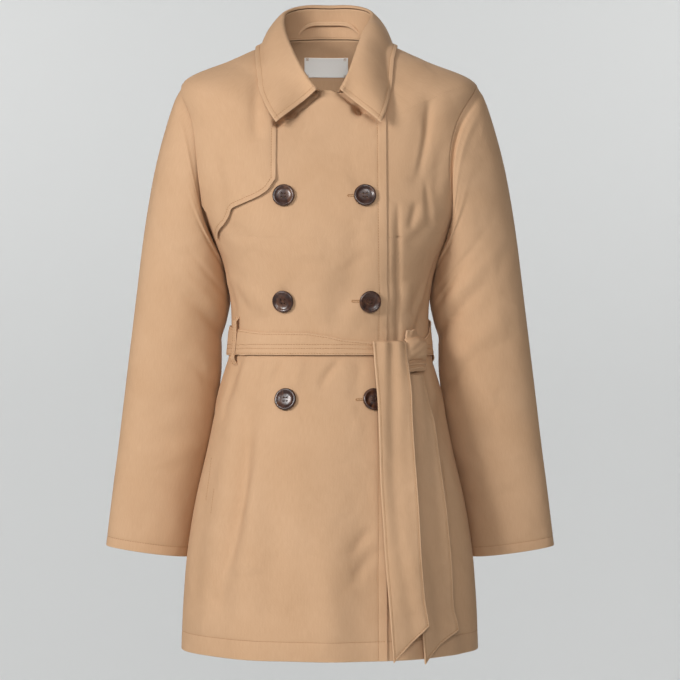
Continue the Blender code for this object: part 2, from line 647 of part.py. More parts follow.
def tail_grid(rows, end_z, out, steps, columns):
    """A hanging strap on the skirt, its edges read from the table and its end cut on a slant."""
    edges = table(TAIL_COLUMNS, rows)
    share = np.linspace(0, 1, columns + 1)
    top = edges["z"][0]
    end = end_z[0] + (end_z[1] - end_z[0]) * share
    z = top + (end - top) * np.linspace(1, 0, steps + 1)[:, None]
    near = np.interp(-z, -edges["z"], edges["near_x"])
    far = np.interp(-z, -edges["z"], edges["far_x"])
    x = near * (1 - share) + far * share
    angle, station = place_at(x, z, out)
    grid = torso(angle, station, out)
    grid[..., 2] = z
    return grid, torso_normal(angle, station)


def build_tails(cotton, collection):
    rear, _ = tail_grid(REAR_TAIL, REAR_TAIL_END_Z, REAR_TAIL_OUT, 14, 4)
    cloth("belt_tail_rear", rear, cotton, collection, BELT_WALL)
    front, normal = tail_grid(FRONT_TAIL, FRONT_TAIL_END_Z, FRONT_TAIL_OUT, 16, 4)
    fold = tail_fold(front[-1], normal[-1])
    cloth("belt_tail_front", np.concatenate([front, fold]), cotton, collection, BELT_WALL)


def tail_fold(top, normal):
    """The front tail's first stretch, which turns back over the belt's upper edge."""
    rise = np.array([0.0, 0.0, 1.0])
    back = -unit(normal * (1, 1, 0))
    turn = np.radians(TAIL_FOLD_TURNS)[:, None, None]
    return top + TAIL_FOLD_RADIUS * (rise * np.sin(turn) + back * (1 - np.cos(turn)))


def build_knot(cotton, collection):
    x = np.linspace(*KNOT_X, KNOT_COLUMNS + 1)
    share = np.linspace(0, 1, KNOT_ROWS + 1)[:, None]
    z = KNOT_Z[0] + (KNOT_Z[1] - KNOT_Z[0]) * share + KNOT_SLANT * (x - KNOT_X[0])
    crown = KNOT_CROWN * np.sin(math.pi * share) ** 0.5
    pleats = KNOT_PLEAT_DEPTH * (1 - share) * np.cos(2 * math.pi * KNOT_PLEATS * share)
    out = BELT_CLEARANCE + 2 * BELT_WALL + KNOT_GAP + crown + pleats + 0 * x
    angle, station = place_at(x + 0 * z, z, out)
    cloth("belt_knot", torso(angle, station, out), cotton, collection, BELT_WALL)


def build_buttons(horn, collection, cutters):
    mesh = button_mesh(horn, collection, cutters)
    for column, x in BUTTON_COLUMNS_X.items():
        for row, z in BUTTON_ROWS_Z.items():
            x_here = x + BUTTON_SHIFT_X.get((column, row), 0.0)
            angle, station = place_at(x_here, z)
            normal = Vector(torso_normal(angle, station))
            seat = Vector(torso(angle, station, lap_lift(angle)))
            seat += normal * (BUTTON_SEAT + cloth_rise(x_here, z, seat, normal))
            button = bpy.data.objects.new(f"button_{column}_{row}", mesh)
            turn = normal.to_track_quat("Z", "Y").to_matrix().to_4x4()
            button.matrix_world = Matrix.Translation(seat) @ turn
            collection.objects.link(button)


def cloth_rise(x, z, seat, normal):
    """How far the cloth under a button stands above the point at its middle."""
    turn = np.linspace(0, 2 * math.pi, 13)[:-1]
    radius = BUTTON_PROFILE[-2][0]
    angle, station = place_at(x + radius * np.cos(turn), z + radius * np.sin(turn))
    rim = torso(angle, station, lap_lift(angle))
    return max(0.0, ((rim - np.array(seat)) @ np.array(normal)).max())


def button_mesh(horn, collection, cutters):
    """A turned button with a raised rim and four thread holes."""
    profile = bpy.data.meshes.new("button_profile")
    points = [(radius, 0.0, height) for radius, height in BUTTON_PROFILE]
    profile.from_pydata(points, [(i, i + 1) for i in range(len(points) - 1)], [])
    blank = bpy.data.objects.new("button_blank", profile)
    collection.objects.link(blank)
    screw = blank.modifiers.new("turned", "SCREW")
    screw.steps = screw.render_steps = BUTTON_STEPS
    screw.use_merge_vertices = True
    screw.merge_threshold = 0.0001
    drill = blank.modifiers.new("holes", "BOOLEAN")
    drill.operation = "DIFFERENCE"
    drill.object = button_drill(cutters)
    graph = bpy.context.evaluated_depsgraph_get()
    mesh = bpy.data.meshes.new_from_object(blank.evaluated_get(graph))
    mesh.name = "button"
    mesh.materials.clear()
    mesh.materials.append(horn)
    mesh.shade_smooth()
    mesh.set_sharp_from_angle(angle=math.radians(40))
    bpy.data.objects.remove(blank)
    return mesh


def button_drill(cutters):
    """Four small cylinders that cut the thread holes."""
    shape = bmesh.new()
    half = BUTTON_HOLE_PITCH / 2
    for x in (-half, half):
        for y in (-half, half):
            bmesh.ops.create_cone(shape, cap_ends=True, segments=6, radius1=BUTTON_HOLE_RADIUS,
                                  radius2=BUTTON_HOLE_RADIUS, depth=0.02,
                                  matrix=Matrix.Translation((x, y, 0.002)))
    mesh = bpy.data.meshes.new("button_drill")
    shape.to_mesh(mesh)
    shape.free()
    drill = bpy.data.objects.new("button_drill", mesh)
    drill.hide_render = True
    drill.display_type = "WIRE"
    cutters.objects.link(drill)
    return drill


def back_place_at(x, z):
    """Angle and station of the back's point that has this x and z."""
    x, z = np.broadcast_arrays(x, z)
    angle = np.full(x.shape, math.pi)
    for _ in range(12):
        station = station_at_z(angle, z)
        angle = bisect(lambda turn: -torso_ring(turn, station)[..., 0], -x, math.pi / 2, math.pi * 3 / 2)
    return angle, station


def build_label(satin, collection):
    angle, station = back_place_at(np.linspace(*LABEL_X, 7), np.linspace(*LABEL_Z, 4)[:, None])
    grid = torso(angle, station, -(WALL + LABEL_GAP))
    cloth("neck_label", grid[:, ::-1], satin, collection, LABEL_WALL)


def build_hanger(cotton, collection):
    """The hanging loop, a narrow strap that arches up from the back neck seam over the stand."""
    share = np.linspace(-1, 1, 15)
    seam, roll, _ = collar_lines(200)
    stand = np.concatenate([seam, (seam + roll) / 2, roll])
    x = HANGER_CENTRE_X + HANGER_HALF * share
    middle_z = HANGER_Z + HANGER_RISE * (1 - share**4)
    rows = []
    for side in (-0.5, 0.5):
        z = middle_z + HANGER_WIDTH * side
        back = stand[stand[:, 1] > 0]
        distance = (back[:, None, 0] - x) ** 2 + (back[:, None, 2] - z) ** 2
        y = back[distance.argmin(axis=0), 1]
        rows.append(np.stack([x, y, z], axis=1))
    grid = np.array(rows)
    smooth_y = grid[..., 1].mean(axis=0)
    fit = np.polyval(np.polyfit(x, smooth_y, 4), x)
    grid[..., 1] = fit - HANGER_END_GAP - HANGER_SLACK * (1 - share**2)
    cloth("hanger_loop", grid, cotton, collection, HANGER_WALL)


def main():
    clear_scene()
    coat = make_collection("trench_coat")
    cutters = make_collection("cutters")
    cotton, horn, satin = (make_material(*finish) for finish in (COTTON, HORN, SATIN))
    tree = skin_tree()
    build_fronts(cotton, coat)
    build_back(cotton, coat)
    build_sleeves(cotton, coat)
    build_collar(cotton, coat, tree)
    build_flap(cotton, coat)
    build_belt(cotton, coat)
    build_belt_loops(cotton, coat)
    build_tails(cotton, coat)
    build_knot(cotton, coat)
    build_buttons(horn, coat, cutters)
    build_label(satin, coat)
    build_hanger(cotton, coat)


main()
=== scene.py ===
"""Looks of a short double-breasted trench coat with a tied belt, filled out with no wearer.

Metres, +Z up, with the coat's front towards -Y and the wearer's left at +X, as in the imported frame.
Each cloth piece is a fine shell on the form of its CAD solid, with creases, rolled edges and sewing.
"""

import logging
import math
from dataclasses import dataclass, field, replace
from enum import Enum, StrEnum
from typing import Callable, Iterable, Sequence

import bmesh
import bpy
import numpy as np
from mathutils import Matrix, Vector
from mathutils.bvhtree import BVHTree
from mathutils.kdtree import KDTree


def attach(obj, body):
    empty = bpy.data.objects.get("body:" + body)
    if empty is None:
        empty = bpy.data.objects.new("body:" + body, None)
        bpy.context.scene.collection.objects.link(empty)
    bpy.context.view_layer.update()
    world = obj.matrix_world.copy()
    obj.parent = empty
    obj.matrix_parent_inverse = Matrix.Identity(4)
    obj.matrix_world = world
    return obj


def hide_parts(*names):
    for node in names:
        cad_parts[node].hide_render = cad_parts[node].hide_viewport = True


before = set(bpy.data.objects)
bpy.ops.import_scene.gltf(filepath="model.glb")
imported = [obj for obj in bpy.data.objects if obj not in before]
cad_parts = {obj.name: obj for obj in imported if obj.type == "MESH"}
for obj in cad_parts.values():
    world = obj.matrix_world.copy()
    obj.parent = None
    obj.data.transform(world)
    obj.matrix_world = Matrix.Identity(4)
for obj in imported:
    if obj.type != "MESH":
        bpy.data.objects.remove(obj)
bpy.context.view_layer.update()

LOG = logging.getLogger("trench_coat")
Array = np.ndarray
Socket, Material, Object = bpy.types.NodeSocket, bpy.types.Material, bpy.types.Object
Pair = tuple[float, float]
MM = 0.001

# Cloth and seams, as in the solids
WALL = 1.6 * MM
COLLAR_WALL = 2.2 * MM
BELT_WALL = 2.8 * MM
LABEL_WALL = 1.0 * MM
HANGER_WALL = 1.2 * MM
SEAM_GAP = 0.3 * MM
LAYER_LIFT = WALL + 1.1 * MM

# Rows of points beside an edge: shares of its rolled rim, and distances on both sides of a line of stitches
ROLL = 1.3 * MM
RIBBON_ROLL = 0.8 * MM
RIM_ROWS = (0.12, 0.4, 1.0, 2.2)
STITCH_ROWS = (-2.4 * MM, -1.1 * MM, 0.0, 1.1 * MM, 2.4 * MM)
LEAST_STEP = 0.11

# Torso stations from the hem up: a rounded oval for each
STATION_COLUMNS = ("side_x", "side_z", "side_y", "front_y", "front_z", "back_y", "back_z", "square")
STATIONS = (
    (0.1910, -0.762, 0.000, 0.150, -0.762, 0.148, -0.762, 2.10),  # hem
    (0.1885, -0.700, 0.000, 0.147, -0.700, 0.146, -0.700, 2.10),
    (0.1835, -0.635, 0.000, 0.143, -0.635, 0.143, -0.635, 2.15),
    (0.1735, -0.570, 0.000, 0.137, -0.570, 0.138, -0.570, 2.20),  # hip
    (0.1590, -0.505, 0.000, 0.128, -0.505, 0.130, -0.505, 2.20),
    (0.1455, -0.440, 0.000, 0.117, -0.442, 0.118, -0.438, 2.20),
    (0.1320, -0.388, 0.000, 0.1065, -0.388, 0.102, -0.388, 2.20),  # belt, lower edge
    (0.1280, -0.348, 0.000, 0.104, -0.348, 0.093, -0.348, 2.20),  # waist
    (0.1300, -0.305, 0.000, 0.109, -0.308, 0.093, -0.303, 2.25),
    (0.1390, -0.264, 0.000, 0.116, -0.272, 0.099, -0.262, 2.30),
    (0.1540, -0.228, 0.000, 0.120, -0.238, 0.105, -0.222, 2.40),  # armpit
    (0.1720, -0.185, 0.002, 0.119, -0.200, 0.110, -0.170, 2.45),
    (0.1850, -0.130, 0.004, 0.113, -0.166, 0.112, -0.115, 2.50),
    (0.1900, -0.075, 0.005, 0.106, -0.136, 0.109, -0.072, 2.50),
    (0.1890, -0.031, 0.005, 0.100, -0.110, 0.102, -0.036, 2.40),  # shoulder tip
    (0.1260, -0.002, 0.005, 0.094, -0.080, 0.085, 0.003, 2.25),
    (0.0630, 0.027, 0.005, 0.088, -0.050, 0.065, 0.035, 2.10),  # neck seam
)
WAIST, ARMPIT, SHOULDER_TIP, NECK = 7, 10, 14, 16


def smooth_through(values: Array, at: Array) -> Array:
    """Reads a smooth curve through values, one per whole number.

    Args:
        values: The values that the curve passes through.
        at: Where it is read, as numbers from 0 to the last value's.

    Returns:
        The curve's value at each number.
    """
    values = np.asarray(values, float)
    at = np.clip(np.asarray(at, float), 0, len(values) - 1)
    padded = np.concatenate([[2 * values[0] - values[1]], values, [2 * values[-1] - values[-2]]])
    low = np.minimum(at.astype(int), len(values) - 2)
    part = at - low
    before, first, second, after = (padded[low + k] for k in range(4))
    bend = 2 * before - 5 * first + 4 * second - after
    twist = 3 * (first - second) + after - before
    return first + 0.5 * part * (second - before + part * (bend + part * twist))


def smooth_edge(at: Array, known: Array, values: Array) -> Array:
    """A smooth curve through values at uneven, rising places."""
    return smooth_through(values, np.interp(at, known, np.arange(len(known))))


def between(ends: Sequence[float], share: Array | float) -> Array:
    """The value at a share of the way from the first of two ends to the second."""
    return ends[0] + (ends[1] - ends[0]) * share


def ease(value: Array, start: float, end: float) -> Array:
    """Rises smoothly from 0 at start to 1 at end."""
    share = np.clip((value - start) / (end - start), 0, 1)
    return share * share * (3 - 2 * share)


def unit(vectors: Array) -> Array:
    """Scales each vector to length 1."""
    return vectors / np.maximum(np.linalg.norm(vectors, axis=-1, keepdims=True), 1e-12)


def bisect(value_at: Callable[[Array], Array], target: Array, low: float, high: float) -> Array:
    """Finds where a rising function reaches each target.

    Args:
        value_at: The function.
        target: The values to reach.
        low: Start of the searched range.
        high: End of the searched range.

    Returns:
        The function's argument for each target.
    """
    lows, highs = np.full(np.shape(target), float(low)), np.full(np.shape(target), float(high))
    for _ in range(36):
        middle = (lows + highs) / 2
        below = value_at(middle) < target
        lows, highs = np.where(below, middle, lows), np.where(below, highs, middle)
    return (lows + highs) / 2


def resampled(path: Array, step: float) -> Array:
    """Puts points evenly along a path.

    Args:
        path: The path's corners.
        step: About how far apart the new points are.

    Returns:
        The new points, with both ends.
    """
    run = run_along(path, 0)
    count = max(2, int(round(run[-1] / step)) + 1)
    even = np.linspace(0, run[-1], count)
    return np.stack([np.interp(even, run, column) for column in path.T], axis=1)


def edge_distances(insets: Sequence[float] = (), roll: float = ROLL) -> Array:
    """Distances from an edge that need a row of points: its rolled rim and each line of stitches.

    Args:
        insets: How far each line of stitches is from the edge.
        roll: The width of the rolled rim.

    Returns:
        The distances in rising order, from 0.
    """
    found = {roll * share for share in RIM_ROWS}
    found |= {inset + shift for inset in insets for shift in STITCH_ROWS}
    kept = [0.0]
    for distance in sorted(value for value in found if value > 0):
        if distance - kept[-1] > roll * LEAST_STEP:
            kept.append(distance)
    return np.array(kept)


def spread(length: Array, spacing: float, low: Array, high: Array) -> Array:
    """Shares along a length: fixed distances from both ends, and even steps between.

    Args:
        length: The length, or one for each row.
        spacing: About how far apart the even steps are.
        low: Distances from the start.
        high: Distances from the end.

    Returns:
        Shares from 0 to 1, along the last axis.
    """
    length = np.asarray(length, float)[..., None]
    first, last = low / length, 1 - high[::-1] / length
    count = max(2, int((length.max() - low[-1] - high[-1]) / spacing))
    even = np.linspace(0, 1, count + 1)[1:-1]
    middle = first[..., -1:] + (last[..., :1] - first[..., -1:]) * even
    return np.concatenate([first, middle, last], axis=-1)


class Side(StrEnum):
    """The wearer's side that a piece is on."""

    RIGHT = "right"
    LEFT = "left"

    @property
    def sign(self) -> int:
        """The sign of x on this side."""
        return -1 if self is Side.RIGHT else 1


class Row(StrEnum):
    """A row of buttons."""

    TOP = "top"
    MIDDLE = "middle"
    BOTTOM = "bottom"


class Held(StrEnum):
    """How a piece of cloth is held in place."""

    HUNG = "hung"
    FOLDED = "folded"
    STRETCHED = "stretched"
    LAID = "laid"


class Face(Enum):
    """The side of the body that a crease is drawn on, with its plane's axes and its outward sign."""

    FRONT = (0, 2, 1, -1)
    BACK = (0, 2, 1, 1)
    LEFT = (1, 2, 0, 1)
    RIGHT = (1, 2, 0, -1)


@dataclass(frozen=True)
class Crease:
    """A soft ridge, or a trough where height is below 0, along a bowed line on one side of the body.

    start and end are x and z on the front and back, and y and z at the sides. bow is how far the
    line's middle swings sideways, and taper how much the crease dies away towards its ends.
    """

    start: Pair
    end: Pair
    width: float
    height: float
    face: Face = Face.FRONT
    bow: float = 0.0
    taper: float = 1.0

    def relief(self, points: Array) -> Array:
        """Gives the crease's height at each point of the body.

        Args:
            points: Points of the body.

        Returns:
            The height at each.
        """
        across, up, depth, sign = self.face.value
        run = np.array(self.end) - np.array(self.start)
        length = np.linalg.norm(run)
        offset = points[..., [across, up]] - np.array(self.start)
        share = offset @ run / length**2
        inside = np.clip(share, 0, 1)
        side = offset @ np.array([-run[1], run[0]]) / length - self.bow * 4 * inside * (1 - inside)
        beyond = (share - inside) * length
        distance = np.hypot(side, beyond)
        fade = 1 - self.taper + self.taper * np.sin(math.pi * inside) ** 0.6
        facing = ease(sign * points[..., depth], 0.0, 0.03)
        return self.height * fade * facing * np.exp(-((distance / self.width) ** 2))


def creases(face: Face, taper: float, rows: Sequence[Sequence[float]]) -> tuple[Crease, ...]:
    """Makes the creases of one side from rows of sizes in millimetres.

    Args:
        face: The side that they are drawn on.
        taper: How much they die away towards their ends, where a row has no taper of its own.
        rows: Each crease's start, end, width and height, then its bow and its own taper if it has them.

    Returns:
        The creases.
    """
    made = []
    for x, z, end_x, end_z, width, height, *rest in rows:
        bow = rest[0] * MM if rest else 0.0
        own_taper = rest[1] if len(rest) > 1 else taper
        made.append(Crease((x * MM, z * MM), (end_x * MM, end_z * MM), width * MM, height * MM, face, bow,
                           own_taper))
    return tuple(made)


# The solids' own folds
MAIN_CREASES = creases(Face.FRONT, 0.0, (
    (-98, -450, -138, -690, 16, -4.5), (-120, -480, -160, -720, 15, 3.5), (-40, -520, -46, -740, 22, 2.5),
    (118, -450, 150, -700, 17, -4), (128, -60, 112, -160, 13, -3), (-126, -290, -90, -318, 13, 2.5),
    (30, -325, 110, -300, 14, 2.5),
)) + creases(Face.BACK, 0.0, (
    (-80, -310, 80, -305, 18, 3.5), (-75, -470, -110, -740, 22, 5), (80, -460, 105, -740, 22, 5),
    (0, -450, 4, -730, 24, -4.5),
))

# Finer creases of the worn cloth: front, back and both sides, whose creases differ in height alone
FRONT_CREASES = creases(Face.FRONT, 1.0, (
    (-17, -52, -66, -91.5, 4.4, -17, 0, 0.3), (-43, -72.5, -53, -80.5, 6, -11),
    (11, -50, 59, -86.5, 4.2, -8, 0, 0.4), (30, -68, 43, -77.5, 6, -15),
    (142, -450, 176, -760, 10, -8, 0, 0.4), (-102, -445, -133, -660, 9, -4.2, 10),
    (-90, -35, -91.5, -115, 7, -3, -2), (54, -594, 24, -633, 7, -2.6), (56, -625, 26, -668, 8, -2.4),
    (76.5, -190, 76.5, -378, 3.6, 1.8), (86, -190, 86.5, -380, 2.8, -4.2),
    (127, -58, 111, -158, 4.8, -4.2, 3), (124, -318, 108, -366, 7, -4.5), (110, -190, 101, -226, 5, -3.4),
    (122, -160, 127, -222, 4.5, -3), (120, -85, 106, -160, 8, 2.4, 4),
    (-89, -20, -92, -115, 10, -2.4, -3), (34, -215, 2, -352, 16, -3, 10), (-20, -250, -8, -356, 18, 1.8),
    (16, -388, -12, -426, 5.5, -3.3, -3), (-57, -388, -73, -424, 5.5, -2.9),
    (-35, -386, -45, -432, 6, 1.8), (40, -388, 30, -440, 7, -1.8), (-85, -386, -98, -436, 6, -2.4),
    (-103, -384, -118, -425, 5.5, 2.1), (-112, -384, -133, -440, 6, -2.7, 3),
    (-100, -330, -121, -290, 6, -2.3), (-78, -334, -90, -296, 6.5, 1.8), (-52, -336, -58, -292, 7, -1.5),
    (105, -334, 118, -285, 6, -2.4), (96, -330, 99, -288, 5, 1.6), (-109, -455, -140, -670, 8, -2.4, 12),
    (-94, -470, -118, -700, 12, 2.4, 8), (20, -580, 52, -690, 22, -3.3, 8), (-10, -600, 4, -750, 20, 2.4),
    (-70, -560, -86, -750, 16, -2.7, 6), (126, -500, 158, -735, 12, 3), (60, -600, 70, -750, 16, -2.1),
    (-150, -120, -132, -205, 7, -2.1, 4), (146, -110, 134, -200, 8, -2.4, -4),
    (-128, -215, -96, -240, 9, -1.9), (132, -212, 98, -246, 8, -2.3),
))
BACK_CREASES = creases(Face.BACK, 1.0, (
    (-130, -180, -88, -250, 11, -2.2, -6), (132, -178, 90, -246, 12, -2.6, 6),
    (-40, -245, -28, -330, 11, -1.8, 3), (34, -236, 26, -332, 12, -2.1, -2),
    (-72, -262, -60, -336, 9, 1.9), (70, -268, 58, -336, 8, 1.6), (-20, -390, -26, -470, 8, -2.2),
    (28, -390, 36, -478, 8.5, -2.4), (-58, -390, -68, -464, 7.5, -2), (64, -390, 74, -458, 7, -1.8),
    (-92, -388, -108, -452, 7, -1.9), (94, -388, 112, -456, 7.5, -2.1),
    (-44, -480, -56, -740, 15, -2.6, 6), (46, -470, 58, -735, 16, -2.8, -5),
    (-120, -500, -142, -730, 15, -2.4), (124, -500, 146, -735, 15, -2.2), (-60, -40, 50, -46, 15, -1, 8),
))
LEFT_CREASES = creases(Face.LEFT, 1.0, (
    (-50, -388, -62, -470, 8, -2.2), (30, -388, 46, -476, 8, -2.2), (0, -390, -4, -460, 7, 1.6),
    (-30, -250, -44, -332, 8, -1.8), (24, -252, 40, -334, 8, -2), (-60, -520, -78, -735, 16, -2.6, 5),
    (50, -515, 70, -740, 16, -2.8, -5),
))
RIGHT_HEIGHTS_MM = (-2, -2.4, 1.8, -1.6, -1.8, -2.2, -3)
RIGHT_CREASES = tuple(replace(crease, height=height * MM, face=Face.RIGHT)
                      for crease, height in zip(LEFT_CREASES, RIGHT_HEIGHTS_MM))


@dataclass(frozen=True)
class TorsoForm:
    """The coat's body surface: angle 0 is the centre front and +90 degrees the wearer's left side."""

    creases: tuple[Crease, ...] = (MAIN_CREASES + FRONT_CREASES + BACK_CREASES + LEFT_CREASES
                                   + RIGHT_CREASES)
    side_rise: float = 2.4
    hem_waves: int = 9
    hem_wave_depth: float = 0.0030
    hem_wave_top_z: float = -0.430
    hem_wave_drift: float = 0.6
    right_edge_x: float = 0.0715
    left_edge_x: float = -0.0800
    lap_corner_station: float = 14.5
    lap_top_bow: float = 0.5
    lap_angles: Pair = (math.radians(-80), math.radians(-44))
    lap_drop_angles: Pair = (math.radians(47), math.radians(61))
    front_cut: dict[Side, float] = field(
        default_factory=lambda: {Side.RIGHT: math.radians(20), Side.LEFT: math.radians(27)})
    back_cut: float = math.radians(17)
    table: dict[str, Array] = field(
        default_factory=lambda: dict(zip(STATION_COLUMNS, np.array(STATIONS, float).T)))

    def ring(self, angle: Array, station: Array) -> Array:
        """Points of the body with no creases.

        Args:
            angle: Angle round the body.
            station: Station up it.

        Returns:
            The points.
        """
        angle, station = np.broadcast_arrays(angle, station)
        at = {name: smooth_through(column, station) for name, column in self.table.items()}
        sine, cosine = np.sin(angle), np.cos(angle)
        depth = np.where(cosine > 0, at["front_y"], at["back_y"])
        power = at["square"]
        radius = ((np.abs(sine) / at["side_x"]) ** power + (np.abs(cosine) / depth) ** power) ** (-1 / power)
        middle_z = np.where(cosine > 0, at["front_z"], at["back_z"])
        z = middle_z + (at["side_z"] - middle_z) * np.abs(sine) ** self.side_rise
        return np.stack([radius * sine, at["side_y"] - radius * cosine, z], axis=-1)

    def normal(self, angle: Array, station: Array) -> Array:
        """Outward directions of the body with no creases.

        Args:
            angle: Angle round the body.
            station: Station up it.

        Returns:
            A direction for each point.
        """
        step = 1e-3
        around = self.ring(angle + step, station) - self.ring(angle - step, station)
        up = self.ring(angle, station + step) - self.ring(angle, station - step)
        return unit(np.cross(around, up))

    def relief(self, points: Array, angle: Array) -> Array:
        """How far the creases and the hem's waves move each point out.

        Args:
            points: Points of the body with no creases.
            angle: Their angles.

        Returns:
            A height for each point.
        """
        height = sum(crease.relief(points) for crease in self.creases)
        skirt = ease(-points[..., 2], -self.hem_wave_top_z, -STATIONS[0][1])
        drift = self.hem_wave_drift * np.sin(2 * angle)
        return height + self.hem_wave_depth * skirt * np.cos(self.hem_waves * angle + drift)

    def surface(self, angle: Array, station: Array, out: Array | float = 0.0) -> Array:
        """Points of the creased body, moved out.

        Args:
            angle: Angle round the body.
            station: Station up it.
            out: How far the points are moved out.

        Returns:
            The points.
        """
        angle, station = np.broadcast_arrays(angle, station)
        ring = self.ring(angle, station)
        height = self.relief(ring, angle) + out
        return ring + self.normal(angle, station) * height[..., None]

    def angle_at_x(self, station: Array, x: Array) -> Array:
        """The angle on the front at which each station's ring reaches x."""
        station, x = np.broadcast_arrays(np.asarray(station, float), np.asarray(x, float))
        return bisect(lambda angle: self.ring(angle, station)[..., 0], x, -math.pi / 2, math.pi / 2)

    def station_at_z(self, angle: Array, z: Array) -> Array:
        """The station at which the body reaches z at each angle."""
        angle, z = np.broadcast_arrays(np.asarray(angle, float), np.asarray(z, float))
        return bisect(lambda station: self.ring(angle, station)[..., 2], z, 0, NECK)

    def place_at(self, x: Array, z: Array, out: Array | float = 0.0) -> tuple[Array, Array]:
        """Angle and station of the front's point that, moved out, has this x and z.

        Args:
            x: Where it is across.
            z: How high it is.
            out: How far it is moved out.

        Returns:
            The angles and the stations.
        """
        x, z, out = np.broadcast_arrays(*(np.asarray(value, float) for value in (x, z, out)))
        angle = np.zeros(x.shape)
        shift = np.zeros(x.shape + (3,))
        for _ in range(6):
            station = self.station_at_z(angle, z - shift[..., 2])
            angle = self.angle_at_x(station, x - shift[..., 0])
            shift = self.normal(angle, station) * out[..., None]
        return angle, station

    def back_place_at(self, x: Array, z: Array) -> tuple[Array, Array]:
        """Angle and station of the back's point that has this x and z.

        Args:
            x: Where it is across.
            z: How high it is.

        Returns:
            The angles and the stations.
        """
        x, z = np.broadcast_arrays(x, z)
        angle = np.full(x.shape, math.pi)
        for _ in range(6):
            station = self.station_at_z(angle, z)
            angle = bisect(lambda turn: -self.ring(turn, station)[..., 0], -x, math.pi / 2, math.pi * 3 / 2)
        return angle, station

    def lap_lift(self, angle: Array) -> Array:
        """How far the right front stands out over the left one."""
        return LAYER_LIFT * ease(angle, *self.lap_angles)

    def side_angle(self, station: Array, cut: float) -> Array:
        """The angle of a panel's side seam, armhole and shoulder seam.

        Args:
            station: Stations of the rows.
            cut: How far round the armhole is cut away.

        Returns:
            An angle for each station.
        """
        height = np.clip((station - ARMPIT) / (SHOULDER_TIP - ARMPIT), 0, 1)
        armhole = cut * np.sqrt(np.sin(math.pi * height).clip(0))
        return math.pi / 2 - armhole

    def front_edge_angle(self, station: Array, edge_x: float) -> Array:
        """The front edge: straight up to the lap's corner, then along its top to the neck."""
        rest = np.clip((station - self.lap_corner_station) / (NECK - self.lap_corner_station), 0, 1)
        return self.angle_at_x(station, edge_x * (1 - rest) ** self.lap_top_bow)

    def skin(self) -> BVHTree:
        """The outer skin with its lap, to keep other pieces clear of it.

        Returns:
            The skin, ready to be searched.
        """
        stations = np.linspace(0, NECK, 97)
        angle = np.linspace(-math.pi, math.pi, 145)[None, :-1] + 0 * stations[:, None]
        edge = self.front_edge_angle(stations, self.right_edge_x)[:, None]
        lap = self.lap_lift(angle) * (1 - ease(angle, edge + 0.03, edge + 0.12))
        points = self.surface(angle, stations[:, None], lap)
        return BVHTree.FromPolygons(points.reshape(-1, 3).tolist(), quads(*angle.shape, True))


def quads(rows: int, columns: int, closed: bool) -> list[tuple[int, ...]]:
    """Quads of a grid whose rows run up and whose columns run to the left, facing out.

    Args:
        rows: Number of rows.
        columns: Number of columns.
        closed: Whether the last column meets the first.

    Returns:
        The corners of each quad.
    """
    last = columns if closed else columns - 1
    return [
        (r * columns + c, r * columns + (c + 1) % columns,
         (r + 1) * columns + (c + 1) % columns, (r + 1) * columns + c)
        for r in range(rows - 1) for c in range(last)
    ]


def run_along(points: Array, axis: int) -> Array:
    """Distances along one axis of a grid of points, from its first one.

    Args:
        points: The grid.
        axis: The axis.

    Returns:
        A distance for each point.
    """
    steps = np.linalg.norm(np.diff(points, axis=axis), axis=-1)
    start = np.zeros_like(np.take(steps, [0], axis=axis))
    return np.concatenate([start, np.cumsum(steps, axis=axis)], axis=axis)


def new_mesh(name: str, points: Array, faces: Array, material: Material) -> bpy.types.Mesh:
    """Makes a smooth mesh of one material.

    Args:
        name: The mesh's name.
        points: Its points.
        faces: The corners of each face.
        material: Its material.

    Returns:
        The mesh.
    """
    mesh = bpy.data.meshes.new(name)
    mesh.from_pydata(points.tolist(), [], faces.tolist())
    mesh.materials.append(material)
    mesh.shade_smooth()
    return mesh


def new_object(name: str, data: bpy.types.ID) -> Object:
    """Puts a mesh, light or camera in the scene.

    Args:
        name: The object's name.
        data: The mesh, light or camera.

    Returns:
        The object.
    """
    added = bpy.data.objects.new(name, data)
    bpy.context.scene.collection.objects.link(added)
    return added


def outer_face(piece: Object) -> BVHTree:
    """The outer face of a shell, which is the first half of its mesh."""
    mesh = piece.data
    return BVHTree.FromPolygons([v.co[:] for v in mesh.vertices],
                                [p.vertices[:] for p in mesh.polygons][: len(mesh.polygons) // 2])


def linear(hex_colour: str) -> tuple[float, float, float, float]:
    """Turns an sRGB hex colour, such as "#c8a078", into linear red, green and blue, with alpha.

    Args:
        hex_colour: The colour.

    Returns:
        Its four numbers.
    """
    shares = [int(hex_colour[k:k + 2], 16) / 255 for k in (1, 3, 5)]
    red, green, blue = (s / 12.92 if s <= 0.04045 else ((s + 0.055) / 1.055) ** 2.4 for s in shares)
    return red, green, blue, 1.0


